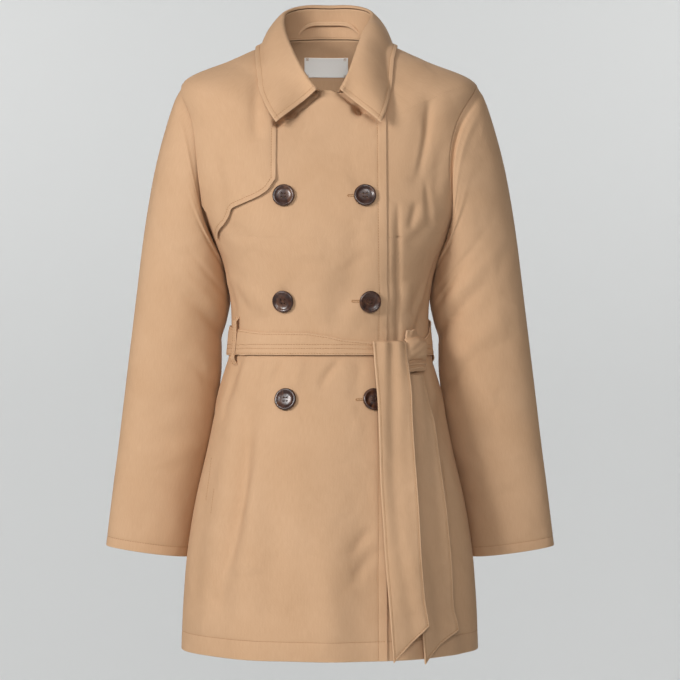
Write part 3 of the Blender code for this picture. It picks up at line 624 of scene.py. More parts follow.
class Recipe:
    """A new material's node tree, with short ways to add the nodes that the finishes need."""

    def __init__(self, name: str) -> None:
        """Starts an empty material of this name.

        Args:
            name: The material's name.
        """
        self.material = bpy.data.materials.new(name)
        self.material.use_nodes = True
        self.tree = self.material.node_tree
        self.tree.nodes.clear()

    def add(self, kind: str, inputs: dict | None = None, **settings) -> bpy.types.Node:
        """Adds a node with its settings and links.

        Args:
            kind: Blender's name for the type of node, without its first word.
            inputs: For each input, its value or the output that feeds it.
            **settings: The node's own properties.

        Returns:
            The node.
        """
        node = self.tree.nodes.new(f"ShaderNode{kind}")
        for name, value in settings.items():
            setattr(node, name, value)
        for name, value in (inputs or {}).items():
            if isinstance(value, Socket):
                self.tree.links.new(value, node.inputs[name])
            else:
                node.inputs[name].default_value = value
        return node

    def place(self) -> Socket:
        """The place on the object, in metres."""
        return self.add("TexCoord").outputs["Object"]

    def attribute(self, name: str, output: str) -> Socket:
        """One of the values written on the cloth's mesh."""
        return self.add("Attribute", attribute_name=name).outputs[output]

    def mapping(self, vector: Socket, **inputs) -> Socket:
        """A vector turned or scaled."""
        return self.add("Mapping", {"Vector": vector, **inputs}).outputs["Vector"]

    def axis(self, vector: Socket, name: str) -> Socket:
        """One of a vector's three numbers."""
        return self.add("SeparateXYZ", {"Vector": vector}).outputs[name]

    def noise(self, vector: Socket, scale: float, **inputs) -> Socket:
        """Soft noise, with this many blotches for each unit of the vector."""
        return self.add("TexNoise", {"Vector": vector, "Scale": scale, **inputs}).outputs["Fac"]

    def math(self, operation: str, *values: Socket | float) -> Socket:
        """The result of a sum."""
        return self.add("Math", dict(enumerate(values)), operation=operation).outputs[0]

    def mapped(self, value: Socket, low: float, high: float, to_low: float = 0.0,
               to_high: float = 1.0) -> Socket:
        """A value brought from one range to another, and kept inside it."""
        return self.add("MapRange", {"Value": value, "From Min": low, "From Max": high,
                                     "To Min": to_low, "To Max": to_high}).outputs[0]

    def mixed(self, share: Socket, first: Socket | str, second: str) -> Socket:
        """Two colours mixed: the second takes this share."""
        first = linear(first) if isinstance(first, str) else first
        return self.add("Mix", {"Factor": share, "A": first, "B": linear(second)},
                        data_type="RGBA").outputs["Result"]

    def bump(self, height: Socket, distance: float, **inputs) -> Socket:
        """Low relief of this depth."""
        relief = {"Height": height, "Distance": distance, "Strength": 1.0}
        return self.add("Bump", {**relief, **inputs}).outputs[0]

    def finish(self, inputs: dict) -> Material:
        """Adds the surface itself and gives the finished material.

        Args:
            inputs: The surface's inputs.

        Returns:
            The material.
        """
        shader = self.add("BsdfPrincipled", {"Metallic": 0.0, **inputs})
        self.add("OutputMaterial", {"Surface": shader.outputs[0]})
        return self.material


@dataclass(frozen=True)
class CottonGabardine:
    """Piece-dyed cotton gabardine, a close steep twill: matt and even, with a faint slanting line."""

    name: str = "cotton_gabardine"
    colour: str = "#cba684"
    shade: str = "#bb9470"
    worn: str = "#d8b896"
    roughness: Pair = (0.78, 0.90)
    sheen: float = 0.10
    # The real twill lines are 0.45 mm apart; drawn coarser, so that they show in the render
    twill_mm: float = 1.5
    twill_slant: float = math.radians(63)
    twill_wander: float = 0.35
    slub_mm: Pair = (1.3, 14.0)
    cloud_mm: float = 70.0
    # How much twill, slubs and clouds change the dye's tone, and the range that runs from shade to colour
    base_tone: float = 0.45
    twill_tone: float = 0.10
    slub_tone: float = 0.55
    cloud_tone: float = 0.50
    tone_range: Pair = (0.62, 1.30)
    # Edges rub pale as they are worn
    worn_mm: float = 2.2
    worn_share: float = 0.30
    relief: float = 0.10 * MM
    twill_height: float = 0.35
    # Cloth that hangs is never quite flat: shallow swells a few centimetres across
    swell_mm: float = 48.0
    swell: float = 3.8 * MM

    def material(self) -> Material:
        """Makes the material: twill and slubs in the cloth's own millimetres, and paler worn edges.

        Returns:
            The material.
        """
        recipe = Recipe(self.name)
        cloth, place = recipe.attribute("cloth_mm", "Vector"), recipe.place()
        across = recipe.axis(recipe.mapping(cloth, Rotation=(0, 0, self.twill_slant)), "X")
        threads = recipe.mapping(cloth, Scale=(*(1 / size for size in self.slub_mm), 1.0))
        slub = recipe.noise(threads, 1.0, Detail=3.0, Roughness=0.6)
        wander = recipe.math("MULTIPLY", slub, self.twill_wander)
        phase = recipe.math("MULTIPLY", across, 2 * math.pi / self.twill_mm)
        twill = recipe.math("SINE", recipe.math("ADD", phase, wander))
        cloud = recipe.noise(place, 1 / (self.cloud_mm * MM), Detail=2.0)
        tone = recipe.math("MULTIPLY_ADD", twill, self.twill_tone, self.base_tone)
        tone = recipe.math("MULTIPLY_ADD", slub, self.slub_tone, tone)
        tone = recipe.math("MULTIPLY_ADD", cloud, self.cloud_tone, tone)
        dyed = recipe.mixed(recipe.mapped(tone, *self.tone_range), self.shade, self.colour)
        rubbed = recipe.mapped(recipe.attribute("edge_mm", "Fac"), 0.0, self.worn_mm, self.worn_share, 0.0)
        swell = recipe.noise(place, 1 / (self.swell_mm * MM), Detail=1.5, Distortion=0.5)
        height = recipe.math("MULTIPLY_ADD", twill, self.twill_height, slub)
        return recipe.finish({
            "Base Color": recipe.mixed(rubbed, dyed, self.worn),
            "Roughness": recipe.mapped(slub, 0.0, 1.0, *self.roughness),
            "Normal": recipe.bump(height, self.relief, Normal=recipe.bump(swell, self.swell)),
            "IOR": 1.5, "Specular IOR Level": 0.25,
            "Sheen Weight": self.sheen, "Sheen Roughness": 0.5, "Sheen Tint": linear(self.worn)})


@dataclass(frozen=True)
class SpunThread:
    """Core-spun polyester sewing thread, twisted: a slightly glossy cord with slanting plies."""

    name: str = "spun_thread"
    colour: str = "#b98f66"
    shade: str = "#94693f"
    roughness: float = 0.55
    # The real plies are 0.3 mm apart; drawn coarser, so that they show
    ply_mm: float = 0.6
    relief: float = 0.05 * MM

    def material(self) -> Material:
        """Makes the material: two tones of dye that follow the plies.

        Returns:
            The material.
        """
        recipe = Recipe(self.name)
        ply = recipe.noise(recipe.place(), 1 / (self.ply_mm * MM), Detail=1.0)
        return recipe.finish({
            "Base Color": recipe.mixed(ply, self.shade, self.colour),
            "Normal": recipe.bump(ply, self.relief), "Roughness": self.roughness,
            "IOR": 1.53, "Specular IOR Level": 0.35})


@dataclass(frozen=True)
class PolishedHorn:
    """Buffalo horn, turned and polished: deep brown with paler streaks and a clear gloss."""

    name: str = "polished_horn"
    dark: str = "#28130c"
    middle: str = "#432517"
    pale: str = "#6b4730"
    roughness: Pair = (0.25, 0.42)
    streak_mm: tuple[float, float, float] = (9.0, 24.0, 16.0)
    streak_turn: tuple[float, float, float] = (0.3, 0.5, 0.6)
    middle_range: Pair = (0.36, 0.56)
    pale_range: Pair = (0.54, 0.74)
    scratch_mm: float = 0.8

    def material(self) -> Material:
        """Makes the material: stretched, swirled bands of three browns under a polish.

        Returns:
            The material.
        """
        recipe = Recipe(self.name)
        place = recipe.place()
        scale = tuple(1 / (size * MM) for size in self.streak_mm)
        grain = recipe.mapping(place, Rotation=self.streak_turn, Scale=scale)
        swirl = recipe.noise(grain, 1.0, Detail=5.0, Roughness=0.55, Distortion=1.2)
        base = recipe.mixed(recipe.mapped(swirl, *self.middle_range), self.dark, self.middle)
        scratches = recipe.noise(place, 1 / (self.scratch_mm * MM), Detail=2.0)
        return recipe.finish({
            "Base Color": recipe.mixed(recipe.mapped(swirl, *self.pale_range), base, self.pale),
            "Roughness": recipe.mapped(scratches, 0.0, 1.0, *self.roughness),
            "IOR": 1.56, "Specular IOR Level": 0.5, "Coat Weight": 0.15, "Coat Roughness": 0.15})


@dataclass(frozen=True)
class SatinRibbon:
    """Woven satin ribbon in off-white polyester: smooth, with fine cross ribs and a soft gloss."""

    name: str = "woven_satin_ribbon"
    colour: str = "#fbfaf7"
    shade: str = "#eeebe4"
    roughness: float = 0.42
    # The real wefts are 0.3 mm apart; drawn coarser, so that they show
    weft_mm: float = 0.9
    weft_tone: float = 0.2
    relief: float = 0.06 * MM

    def material(self) -> Material:
        """Makes the material: fine ribs across the ribbon in its own millimetres.

        Returns:
            The material.
        """
        recipe = Recipe(self.name)
        cloth = recipe.attribute("cloth_mm", "Vector")
        phase = recipe.math("MULTIPLY", recipe.axis(cloth, "Y"), 2 * math.pi / self.weft_mm)
        fuzz = recipe.noise(cloth, 1.1, Detail=3.0)
        tone = recipe.math("MULTIPLY_ADD", recipe.math("SINE", phase), self.weft_tone, fuzz)
        return recipe.finish({
            "Base Color": recipe.mixed(tone, self.shade, self.colour),
            "Normal": recipe.bump(tone, self.relief), "Roughness": self.roughness,
            "IOR": 1.5, "Specular IOR Level": 0.5, "Sheen Weight": 0.2})


@dataclass(frozen=True)
class PaperBackdrop:
    """Seamless studio paper, pale grey: matt and even, with a faint tooth."""

    name: str = "seamless_paper"
    colour: str = "#dcdddc"
    tooth_mm: float = 2.5
    relief: float = 0.05 * MM

    def material(self) -> Material:
        """Makes the material: one matt grey with a fine tooth.

        Returns:
            The material.
        """
        recipe = Recipe(self.name)
        tooth = recipe.noise(recipe.place(), 1 / (self.tooth_mm * MM), Detail=2.0)
        return recipe.finish({"Base Color": linear(self.colour), "Normal": recipe.bump(tooth, self.relief),
                              "Roughness": 0.95, "Specular IOR Level": 0.1})


@dataclass
class Finishes:
    """The coat's materials, made once."""

    cloth: Material = field(default_factory=lambda: CottonGabardine().material())
    thread: Material = field(default_factory=lambda: SpunThread().material())
    button_thread: Material = field(
        default_factory=lambda: SpunThread("button_thread", "#4a2c1c", "#2f1a10").material())
    horn: Material = field(default_factory=lambda: PolishedHorn().material())
    ribbon: Material = field(default_factory=lambda: SatinRibbon().material())


class Edge(Enum):
    """The four edges of a cloth grid, as (axis along which points are taken, index)."""

    LOW = ("row", 0)
    TOP = ("row", -1)
    FIRST = ("column", 0)
    LAST = ("column", -1)


@dataclass(frozen=True)
class StitchLine:
    """A line of topstitching beside an edge, or beside part of it."""

    edge: Edge
    inset: float
    start: float = 0.0
    end: float = 1.0
    depth: float = 0.55 * MM
    pucker: float = 0.15 * MM


@dataclass
class ClothPiece:
    """A piece of cloth: its outer face as rows that run up and columns that run to the left."""

    name: str
    points: Array
    wall: float = WALL
    closed: bool = False
    lines: tuple[StitchLine, ...] = ()
    roll: float = ROLL
    trough_width: float = 1.3 * MM
    pucker_width: float = 5.2 * MM
    pucker_length: float = 9 * MM
    pucker_drift: float = 0.013
    last_step: float = 3 * MM
    least_cut: float = 0.0
    stitch_paths: list[Array] = field(default_factory=list)

    def normals(self) -> Array:
        """Outward directions at the grid's points.

        Returns:
            A direction for each point.
        """
        if self.closed:
            across = np.roll(self.points, -1, axis=1) - np.roll(self.points, 1, axis=1)
        else:
            across = np.gradient(self.points, axis=1)
        return unit(np.cross(unit(across), unit(np.gradient(self.points, axis=0))))

    def steps(self) -> tuple[Array, Array]:
        """Distances along the columns' and the rows' direction, from the grid's first corner."""
        return run_along(self.points, 1), run_along(self.points, 0)

    def edge_distance(self) -> Array:
        """How far each point is from the nearest edge, along the grid.

        Returns:
            A distance for each point.
        """
        columns, rows = self.steps()
        nearest = np.minimum(rows, rows[-1] - rows)
        if not self.closed:
            nearest = np.minimum(nearest, np.minimum(columns, columns[:, -1:] - columns))
        return nearest

    def line_path(self, line: StitchLine) -> Array:
        """The path of a line of stitches, a step inside its edge.

        Args:
            line: The line.

        Returns:
            Points about 1 mm apart.
        """
        kind, index = line.edge.value
        normals = self.normals()
        if kind == "row":
            border, normal = self.points[index], normals[index]
            inward = self.points[1 if index == 0 else -2] - border
        else:
            border, normal = self.points[:, index], normals[:, index]
            inward = self.points[:, 1 if index == 0 else -2] - border
        if self.closed and kind == "row":
            border, normal, inward = (np.concatenate([a, a[:1]]) for a in (border, normal, inward))
        along = unit(np.gradient(border, axis=0))
        inside = np.cross(normal, along)
        inside *= np.sign((inside * inward).sum(axis=1, keepdims=True))
        count = len(border)
        part = slice(int(line.start * (count - 1)), int(line.end * (count - 1)) + 1)
        return resampled((border + unit(inside) * line.inset)[part], 1 * MM)

    def sewn_relief(self) -> Array:
        """The troughs that the stitches pull into the cloth, and the small puckers beside them.

        Returns:
            A height for each point.
        """
        height = np.zeros(self.points.shape[:2])
        for line in self.lines:
            path = self.line_path(line)
            self.stitch_paths.append(path)
            tree = KDTree(len(path))
            for number, point in enumerate(path):
                tree.insert(point, number)
            tree.balance()
            found = [tree.find(point)[1:] for point in self.points.reshape(-1, 3)]
            number, distance = (np.array(column).reshape(height.shape) for column in zip(*found))
            height -= line.depth * np.exp(-((distance / self.trough_width) ** 2))
            drift = 2 * np.sin(number * self.pucker_drift)
            wave = np.sin(2 * math.pi * number * MM / self.pucker_length + drift)
            height += line.pucker * wave * np.exp(-((distance / self.pucker_width) ** 2))
        return height

    def build(self, finish: Material) -> Object:
        """Makes the shell: both faces, meeting in a rolled rim.

        Args:
            finish: The cloth's material.

        Returns:
            The piece.
        """
        normals = self.normals()
        near = self.edge_distance()
        share = np.clip(near / self.roll, 0, 1)
        rim = self.wall / 2 * (1 - np.sqrt(1 - (1 - share) ** 2))
        relief = self.sewn_relief()
        outer = self.points + normals * (relief - rim)[..., None]
        inner = self.points + normals * (0.5 * relief - self.wall + rim)[..., None]
        is_rim = np.zeros(near.shape, bool)
        is_rim[[0, -1]] = True
        if not self.closed:
            is_rim[:, [0, -1]] = True
        outer[is_rim] = (outer[is_rim] + inner[is_rim]) / 2
        under = np.arange(near.size).reshape(near.shape)
        under[~is_rim] = near.size + np.arange((~is_rim).sum())
        vertices = np.concatenate([outer.reshape(-1, 3), inner[~is_rim]])
        faces = np.array(quads(*near.shape, self.closed))
        inside = under.reshape(-1)[faces][:, ::-1]
        mesh = new_mesh(self.name, vertices, np.concatenate([faces, inside]), finish)
        self.mark_cloth(mesh, faces, near)
        return new_object(self.name, mesh)

    def mark_cloth(self, mesh: bpy.types.Mesh, faces: Array, near: Array) -> None:
        """Writes each corner's place on the cloth and its distance to the edge, in millimetres.

        Args:
            mesh: The shell's mesh.
            faces: The outer faces' corners.
            near: Each point's distance to the nearest edge.
        """
        columns, rows = self.steps()
        across = np.broadcast_to(columns[len(columns) // 2], columns.shape)
        place = np.stack([across, rows, 0 * rows], axis=-1).reshape(-1, 3)[faces]
        if self.closed:
            wrapped = faces[:, [1]] % near.shape[1] == 0
            place[:, 1:3, 0] = np.where(wrapped, place[:, [0], 0] + self.last_step, place[:, 1:3, 0])
        both = np.concatenate([place, place[:, ::-1]]).reshape(-1, 3) / MM
        edge = near.reshape(-1)[faces]
        edges = np.concatenate([edge, edge[:, ::-1]]).reshape(-1) / MM
        mesh.attributes.new("cloth_mm", "FLOAT_VECTOR", "CORNER").data.foreach_set("vector", both.ravel())
        mesh.attributes.new("edge_mm", "FLOAT", "CORNER").data.foreach_set("value", edges)

    def cut(self) -> tuple[float, float, float]:
        """The cut's width, length and flat area, in metres.

        Returns:
            The three sizes.
        """
        columns, rows = self.steps()
        width = columns[:, -1].max()
        if self.closed:
            width = (columns[:, -1] + np.linalg.norm(self.points[:, -1] - self.points[:, 0], axis=-1)).max()
        across = np.roll(self.points, -1, axis=1) - self.points
        up = np.roll(self.points, -1, axis=0) - self.points
        area = np.linalg.norm(np.cross(across, up), axis=-1)[:-1, : None if self.closed else -1].sum()
        length = max(rows[-1].max(), area / width, self.least_cut)
        return float(width), float(length), float(min(area, width * length))


@dataclass(frozen=True)
class Sewing:
    """Thread stitches laid on cloth, each a short round-backed loop that dips in at its ends."""

    pitch: float = 3.4 * MM
    gap: float = 0.8 * MM
    radius: float = 0.36 * MM
    sides: int = 6
    # Along a stitch: its share, its width and its lift, in radii
    rings = ((0.0, 0.15, -0.7), (0.12, 0.8, 0.1), (0.5, 1.0, 0.45), (0.88, 0.8, 0.1), (1.0, 0.15, -0.7))

    def capsules(self, starts: Array, ends: Array, normals: Array, radius: float) -> tuple[Array, Array]:
        """Points and faces of many stitches.

        Args:
            starts: Where each stitch begins.
            ends: Where it ends.
            normals: Outward direction at each.
            radius: The thread's radius.

        Returns:
            Points and faces.
        """
        along = unit(ends - starts)
        side = unit(np.cross(along, normals))
        up = np.cross(side, along)
        turn = np.linspace(0, 2 * math.pi, self.sides, endpoint=False)[None, :, None]
        circle = side[:, None] * np.cos(turn) + up[:, None] * np.sin(turn)
        rings = [(starts + (ends - starts) * share + up * radius * lift)[:, None] + circle * radius * width
                 for share, width, lift in self.rings]
        points = np.stack(rings, axis=1).reshape(-1, 3)
        stitch = np.array([(low + k, low + self.sides + k, low + self.sides + after, low + after)
                           for low in range(0, (len(rings) - 1) * self.sides, self.sides)
                           for k in range(self.sides) for after in [(k + 1) % self.sides]])
        first = np.arange(len(starts)) * len(rings) * self.sides
        return points, (stitch[None] + first[:, None, None]).reshape(-1, 4)

    def mesh_object(self, name: str, parts: Iterable[tuple[Array, Array]],
                    thread: Material) -> Object:
        """Joins stitches into one piece.

        Args:
            name: The piece's name.
            parts: Points and faces of each group of stitches.
            thread: The thread's material.

        Returns:
            The piece.
        """
        points, faces, count = [], [], 0
        for part_points, part_faces in parts:
            points.append(part_points)
            faces.append(part_faces + count)
            count += len(part_points)
        return new_object(name, new_mesh(name, np.concatenate(points), np.concatenate(faces), thread))

    def on_surface(self, points: Array, tree: BVHTree) -> tuple[Array, Array]:
        """The surface's nearest points and its outward directions there."""
        places, normals, _, _ = zip(*(tree.find_nearest(point) for point in points))
        return np.array(places), np.array(normals)

    def sew(self, piece: Object, cloth: ClothPiece, thread: Material,
            extra: Sequence[Array] = ()) -> Object:
        """Sews every line of a piece.

        Args:
            piece: The finished cloth.
            cloth: What it was made from, with its lines' paths.
            thread: The thread's material.
            extra: Further paths to sew.

        Returns:
            The stitches.
        """
        tree = outer_face(piece)
        parts = []
        for path in [*cloth.stitch_paths, *extra]:
            ends = resampled(path, self.pitch)
            if len(ends) < 3:
                continue
            places, normals = self.on_surface(ends, tree)
            step = places[1:] - places[:-1]
            inset = step * (self.gap / 2 / np.linalg.norm(step, axis=1, keepdims=True))
            parts.append(self.capsules(places[:-1] + inset, places[1:] - inset, normals[:-1], self.radius))
        return self.mesh_object(f"{cloth.name}_stitches", parts, thread)


def place_piece(piece: Object, slot: str, *nodes: str) -> Object:
    """Makes a piece ride with the coat, in place of its solids.

    Args:
        piece: The piece.
        slot: Not used.
        *nodes: The solids that it replaces.

    Returns:
        The same piece.
    """
    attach(piece, "root")
    if nodes:
        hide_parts(*nodes)
    return piece


def declare(piece: Object, cloth: ClothPiece) -> None:
    """Reports a piece's cut size and its number of faces.

    Args:
        piece: The piece.
        cloth: What it was made from.
    """
    width, length, area = cloth.cut()
    LOG.info("%s: %.0f x %.0f mm, %d faces", cloth.name, width / MM, length / MM, len(piece.data.polygons))


def dress_cloth(cloth: ClothPiece, finishes: Finishes,
                extra: Sequence[Array] = ()) -> Object:
    """Builds, sews and reports one piece of the coat's cloth.

    Args:
        cloth: The piece.
        finishes: The coat's materials.
        extra: Further paths to sew on it.

    Returns:
        The built piece.
    """
    piece = place_piece(cloth.build(finishes.cloth), "cotton_gabardine", cloth.name)
    sewn = []
    if cloth.lines or len(extra):
        sewn = [place_piece(Sewing().sew(piece, cloth, finishes.thread, extra), "cotton_gabardine")]
    declare(piece, cloth)
    return piece


def armhole_stations(steps: int) -> Array:
    """Stations from the armpit to the shoulder tip, closest together at both ends."""
    return between((ARMPIT, SHOULDER_TIP), (1 - np.cos(np.linspace(0, math.pi, steps + 1))) / 2)


@dataclass
class BodyPanels:
    """The two fronts and the back, cut from the torso form."""

    form: TorsoForm
    finishes: Finishes
    spacing: float = 3.4 * MM
    front_stitch: float = 11.5 * MM
    front_edge_stitch: float = 2.5 * MM
    hem_stitch: float = 24 * MM
    seam_stitch: float = 5.0 * MM
    skirt_rows: int = 78
    waist_rows: int = 62
    armhole_rows: int = 72
    shoulder_rows: int = 22
    skirt_top: int = 5
    # About how far apart two stations are at the hem and at the neck
    hem_step: float = 0.062
    neck_step: float = 0.040
    # Where lines of stitches start or stop, as shares of their edges
    shoulder_seam_start: float = 0.905
    edge_stitch_end: float = 0.86
    hem_end: float = 0.97
    # Rows where a pocket bag is caught in: x and z of both ends, on the left
    pocket_lines = (((0.150, -0.514), (0.158, -0.568)), ((0.145, -0.552), (0.149, -0.584)))

    def stations(self) -> Array:
        """Stations of the rows: close together at the hem, the armhole's ends and the neck.

        Returns:
            The stations in rising order.
        """
        near_hem = edge_distances([self.hem_stitch]) / self.hem_step
        even = np.linspace(0, self.skirt_top, self.skirt_rows + 1)[:-1]
        skirt = np.concatenate([near_hem, even[even > near_hem[-1] + 0.03]])
        waist = np.linspace(self.skirt_top, ARMPIT, self.waist_rows + 1)[:-1]
        armhole = armhole_stations(self.armhole_rows)
        neck = NECK - edge_distances([self.seam_stitch])[::-1] / self.neck_step
        shoulder = np.linspace(SHOULDER_TIP, NECK, self.shoulder_rows + 1)[1:]
        return np.concatenate([skirt, waist, armhole, shoulder[shoulder < neck[0] - 0.05], neck])

    def angles(self, first: Array, last: Array, stations: Array, low: Array, high: Array) -> Array:
        """Angles of the columns between a panel's two edges.

        Args:
            first: The first edge's angle at each station.
            last: The last edge's angle.
            stations: The stations.
            low: Columns' distances from the first edge.
            high: Columns' distances from the last edge.

        Returns:
            An angle for each row and column.
        """
        even = np.linspace(0, 1, 60)
        angle = first[:, None] * (1 - even) + last[:, None] * even
        ring = self.form.ring(angle, stations[:, None])
        run = run_along(ring, 1)
        share = spread(run[:, -1], self.spacing, low, high)
        at = [np.interp(row * length[-1], length, turn) for row, length, turn in zip(share, run, angle)]
        return np.array(at)

    def front(self, which: Side) -> ClothPiece:
        """Cuts one front.

        Args:
            which: The wearer's side that it is on.

        Returns:
            The piece.
        """
        stations = self.stations()
        side = self.form.side_angle(stations, self.form.front_cut[which])
        seam = edge_distances([self.seam_stitch])
        edge = edge_distances([self.front_edge_stitch, self.front_stitch])
        shoulder = StitchLine(Edge.FIRST if which is Side.RIGHT else Edge.LAST, self.seam_stitch,
                              self.shoulder_seam_start)
        if which is Side.RIGHT:
            first, last = -side, self.form.front_edge_angle(stations, self.form.right_edge_x)
            angle = self.angles(first, last, stations, seam, edge)
            out = self.form.lap_lift(angle)
            lines = (StitchLine(Edge.LAST, self.front_stitch, 0.0, self.edge_stitch_end), shoulder,
                     StitchLine(Edge.LOW, self.hem_stitch, 0.0, self.hem_end))
        else:
            first, last = self.form.front_edge_angle(stations, self.form.left_edge_x), side
            angle = self.angles(first, last, stations, edge, seam)
            out = 0.0
            lines = (StitchLine(Edge.FIRST, self.front_stitch), shoulder,
                     StitchLine(Edge.LOW, self.hem_stitch, 1 - self.hem_end))
        return ClothPiece(f"{which}_front", self.form.surface(angle, stations[:, None], out), lines=lines)

    def back(self) -> ClothPiece:
        """Cuts the back.

        Returns:
            The piece.
        """
        stations = self.stations()
        side = self.form.side_angle(stations, self.form.back_cut)
        seam = edge_distances()
        angle = self.angles(math.pi - side, math.pi + side, stations, seam, seam)
        lines = (StitchLine(Edge.LOW, self.hem_stitch),)
        return ClothPiece("back", self.form.surface(angle, stations[:, None]), lines=lines)

    def pocket_rows(self, sign: int) -> list[Array]:
        """Short rows of stitches on a skirt's side, where a pocket bag is caught in.

        Args:
            sign: -1 on the wearer's right and +1 on the left.

        Returns:
            The rows' paths.
        """
        paths = []
        for start, end in self.pocket_lines:
            x, z = np.linspace(start, end, 20).T
            angle, station = self.form.place_at(sign * x, z)
            lift = self.form.lap_lift(angle) if sign < 0 else 0.0
            paths.append(self.form.surface(angle, station, lift))
        return paths

    def build(self) -> dict[str, Object]:
        """Builds the three panels and gives them by name.

        Returns:
            The panels.
        """
        built = {}
        for which in Side:
            cloth = self.front(which)
            built[cloth.name] = dress_cloth(cloth, self.finishes,
                                            extra=self.pocket_rows(which.sign))
        built["back"] = dress_cloth(self.back(), self.finishes)
        return built


@dataclass(frozen=True)
class SleeveCrease:
    """A crease on a sleeve: its ring and turn, its reach round the arm and its slant in rings."""

    ring: float
    turn: float
    reach: float
    slant: float
    width: float
    height: float


@dataclass
class Sleeves:
    """Both sleeves, each a tube from its armhole to its open cuff."""

    form: TorsoForm
    finishes: Finishes
    columns = ("outer_x", "outer_z", "inner_x", "inner_z", "middle_y", "front_y", "back_y", "inner_back")
    rings = (
        (0.2005, -0.052, 0.1520, -0.236, 0.003, 0.078, 0.056, 0.008),
        (0.2115, -0.084, 0.1455, -0.246, 0.004, 0.074, 0.056, 0.016),
        (0.2245, -0.131, 0.1375, -0.262, 0.006, 0.069, 0.056, 0.022),
        (0.2345, -0.180, 0.1330, -0.285, 0.008, 0.063, 0.056, 0.019),
        (0.2440, -0.240, 0.1295, -0.318, 0.011, 0.058, 0.056, 0.020),
        (0.2525, -0.308, 0.1400, -0.362, 0.014, 0.053, 0.054, 0.018),
        (0.2610, -0.375, 0.1425, -0.415, 0.017, 0.049, 0.051, 0.016),
        (0.2685, -0.435, 0.1490, -0.465, 0.020, 0.045, 0.048, 0.016),
        (0.2765, -0.500, 0.1610, -0.522, 0.022, 0.041, 0.045, 0.017),
        (0.2845, -0.562, 0.1735, -0.580, 0.022, 0.038, 0.042, 0.018),
        (0.2930, -0.632, 0.1835, -0.648, 0.022, 0.036, 0.039, 0.018),  # cuff
    )
    blend_rings: int = 4
    swing_power: float = 4.0
    front_power: float = 0.75
    armhole_steps: int = 52
    rows: int = 150
    armhole_extra_gap: float = 0.8 * MM
    armhole_lift: float = 0.6 * MM
    tuck_depth: float = 5 * MM
    tuck_reach: float = 1 * MM
    root_step: float = 0.03
    # The solids' own troughs: ring, slant and depth, and their shared shape
    main_creases = ((2.6, 0.9, 0.0010), (5.3, 1.2, 0.0025), (6.5, 1.1, 0.0025), (7.7, 0.8, 0.0015))
    main_turn: float = 0.5
    main_lean: float = 0.4
    main_sharpness: float = 1.5
    main_width: float = 0.55
    cuff_stitch: float = 12.5 * MM
    creases = tuple(SleeveCrease(*row) for row in (
        (2.3, 150, 40, 0.9, 0.16, -0.0018), (3.0, 140, 46, 1.1, 0.18, 0.0016),
        (3.5, 150, 44, 1.3, 0.15, -0.0020), (4.6, 130, 50, 0.8, 0.16, -0.0018),
        (5.2, 120, 56, 0.7, 0.17, 0.0018), (5.7, 135, 46, 0.6, 0.14, -0.0032),
        (6.5, 110, 50, 0.5, 0.20, 0.0016), (7.1, 140, 40, 0.7, 0.16, -0.0016),
        (8.6, 100, 60, -0.8, 0.26, -0.0016), (3.2, 230, 46, -0.9, 0.18, -0.0020),
        (4.9, 240, 56, -0.6, 0.18, -0.0022), (5.9, 245, 60, 0.4, 0.20, 0.0018),
        (6.8, 250, 50, 0.6, 0.18, -0.0018), (1.2, 60, 34, 0.5, 0.22, 0.0014),
        (1.4, 300, 34, 0.5, 0.22, 0.0014),
    ))
    own_creases = {
        Side.RIGHT: (SleeveCrease(0.35, 135, 26, 0.0, 0.24, -0.0030),),
        Side.LEFT: (SleeveCrease(0.35, 95, 62, 0.0, 0.24, -0.0050),
                    SleeveCrease(4.9, 128, 22, 0.5, 0.10, -0.0030)),
    }

    def armhole(self, which: Side) -> tuple[Array, Array]:
        """The armhole's edge from the shoulder tip down the front and up the back, and its normals.

        Args:
            which: The side whose front cut it has. The edge is given on the left side.

        Returns:
            The edge's points and the body's outward directions there.
        """
        stations = armhole_stations(self.armhole_steps)
        down, up = stations[::-1], stations[1:-1]
        angle = np.concatenate([self.form.side_angle(down, self.form.front_cut[which]),
                                math.pi - self.form.side_angle(up, self.form.back_cut)])
        station = np.concatenate([down, up])
        return self.form.surface(angle, station), self.form.normal(angle, station)

    def away(self, loop: Array, normal: Array) -> Array:
        """Directions along the body's surface, from the armhole's edge into the armhole.

        Args:
            loop: The armhole's edge.
            normal: The body's outward directions there.

        Returns:
            A direction for each point.
        """
        along = np.roll(loop, -1, axis=0) - np.roll(loop, 1, axis=0)
        across = unit(np.cross(along, normal))
        return across * np.sign(((loop.mean(axis=0) - loop) * across).sum(axis=1, keepdims=True))

    def root(self, loop: Array, normal: Array, turn: Array) -> Array:
        """The first ring: the armhole moved clear of the panels, most at the convex shoulder.

        Args:
            loop: The armhole's edge.
            normal: The body's outward directions there.
            turn: Each point's turn round the arm.

        Returns:
            The ring.
        """
        top = (1 + np.cos(turn)) / 2
        gap = SEAM_GAP + self.armhole_extra_gap * top
        lift = self.armhole_lift * (1 - top)
        return loop + self.away(loop, normal) * gap[:, None] + normal * lift[:, None]

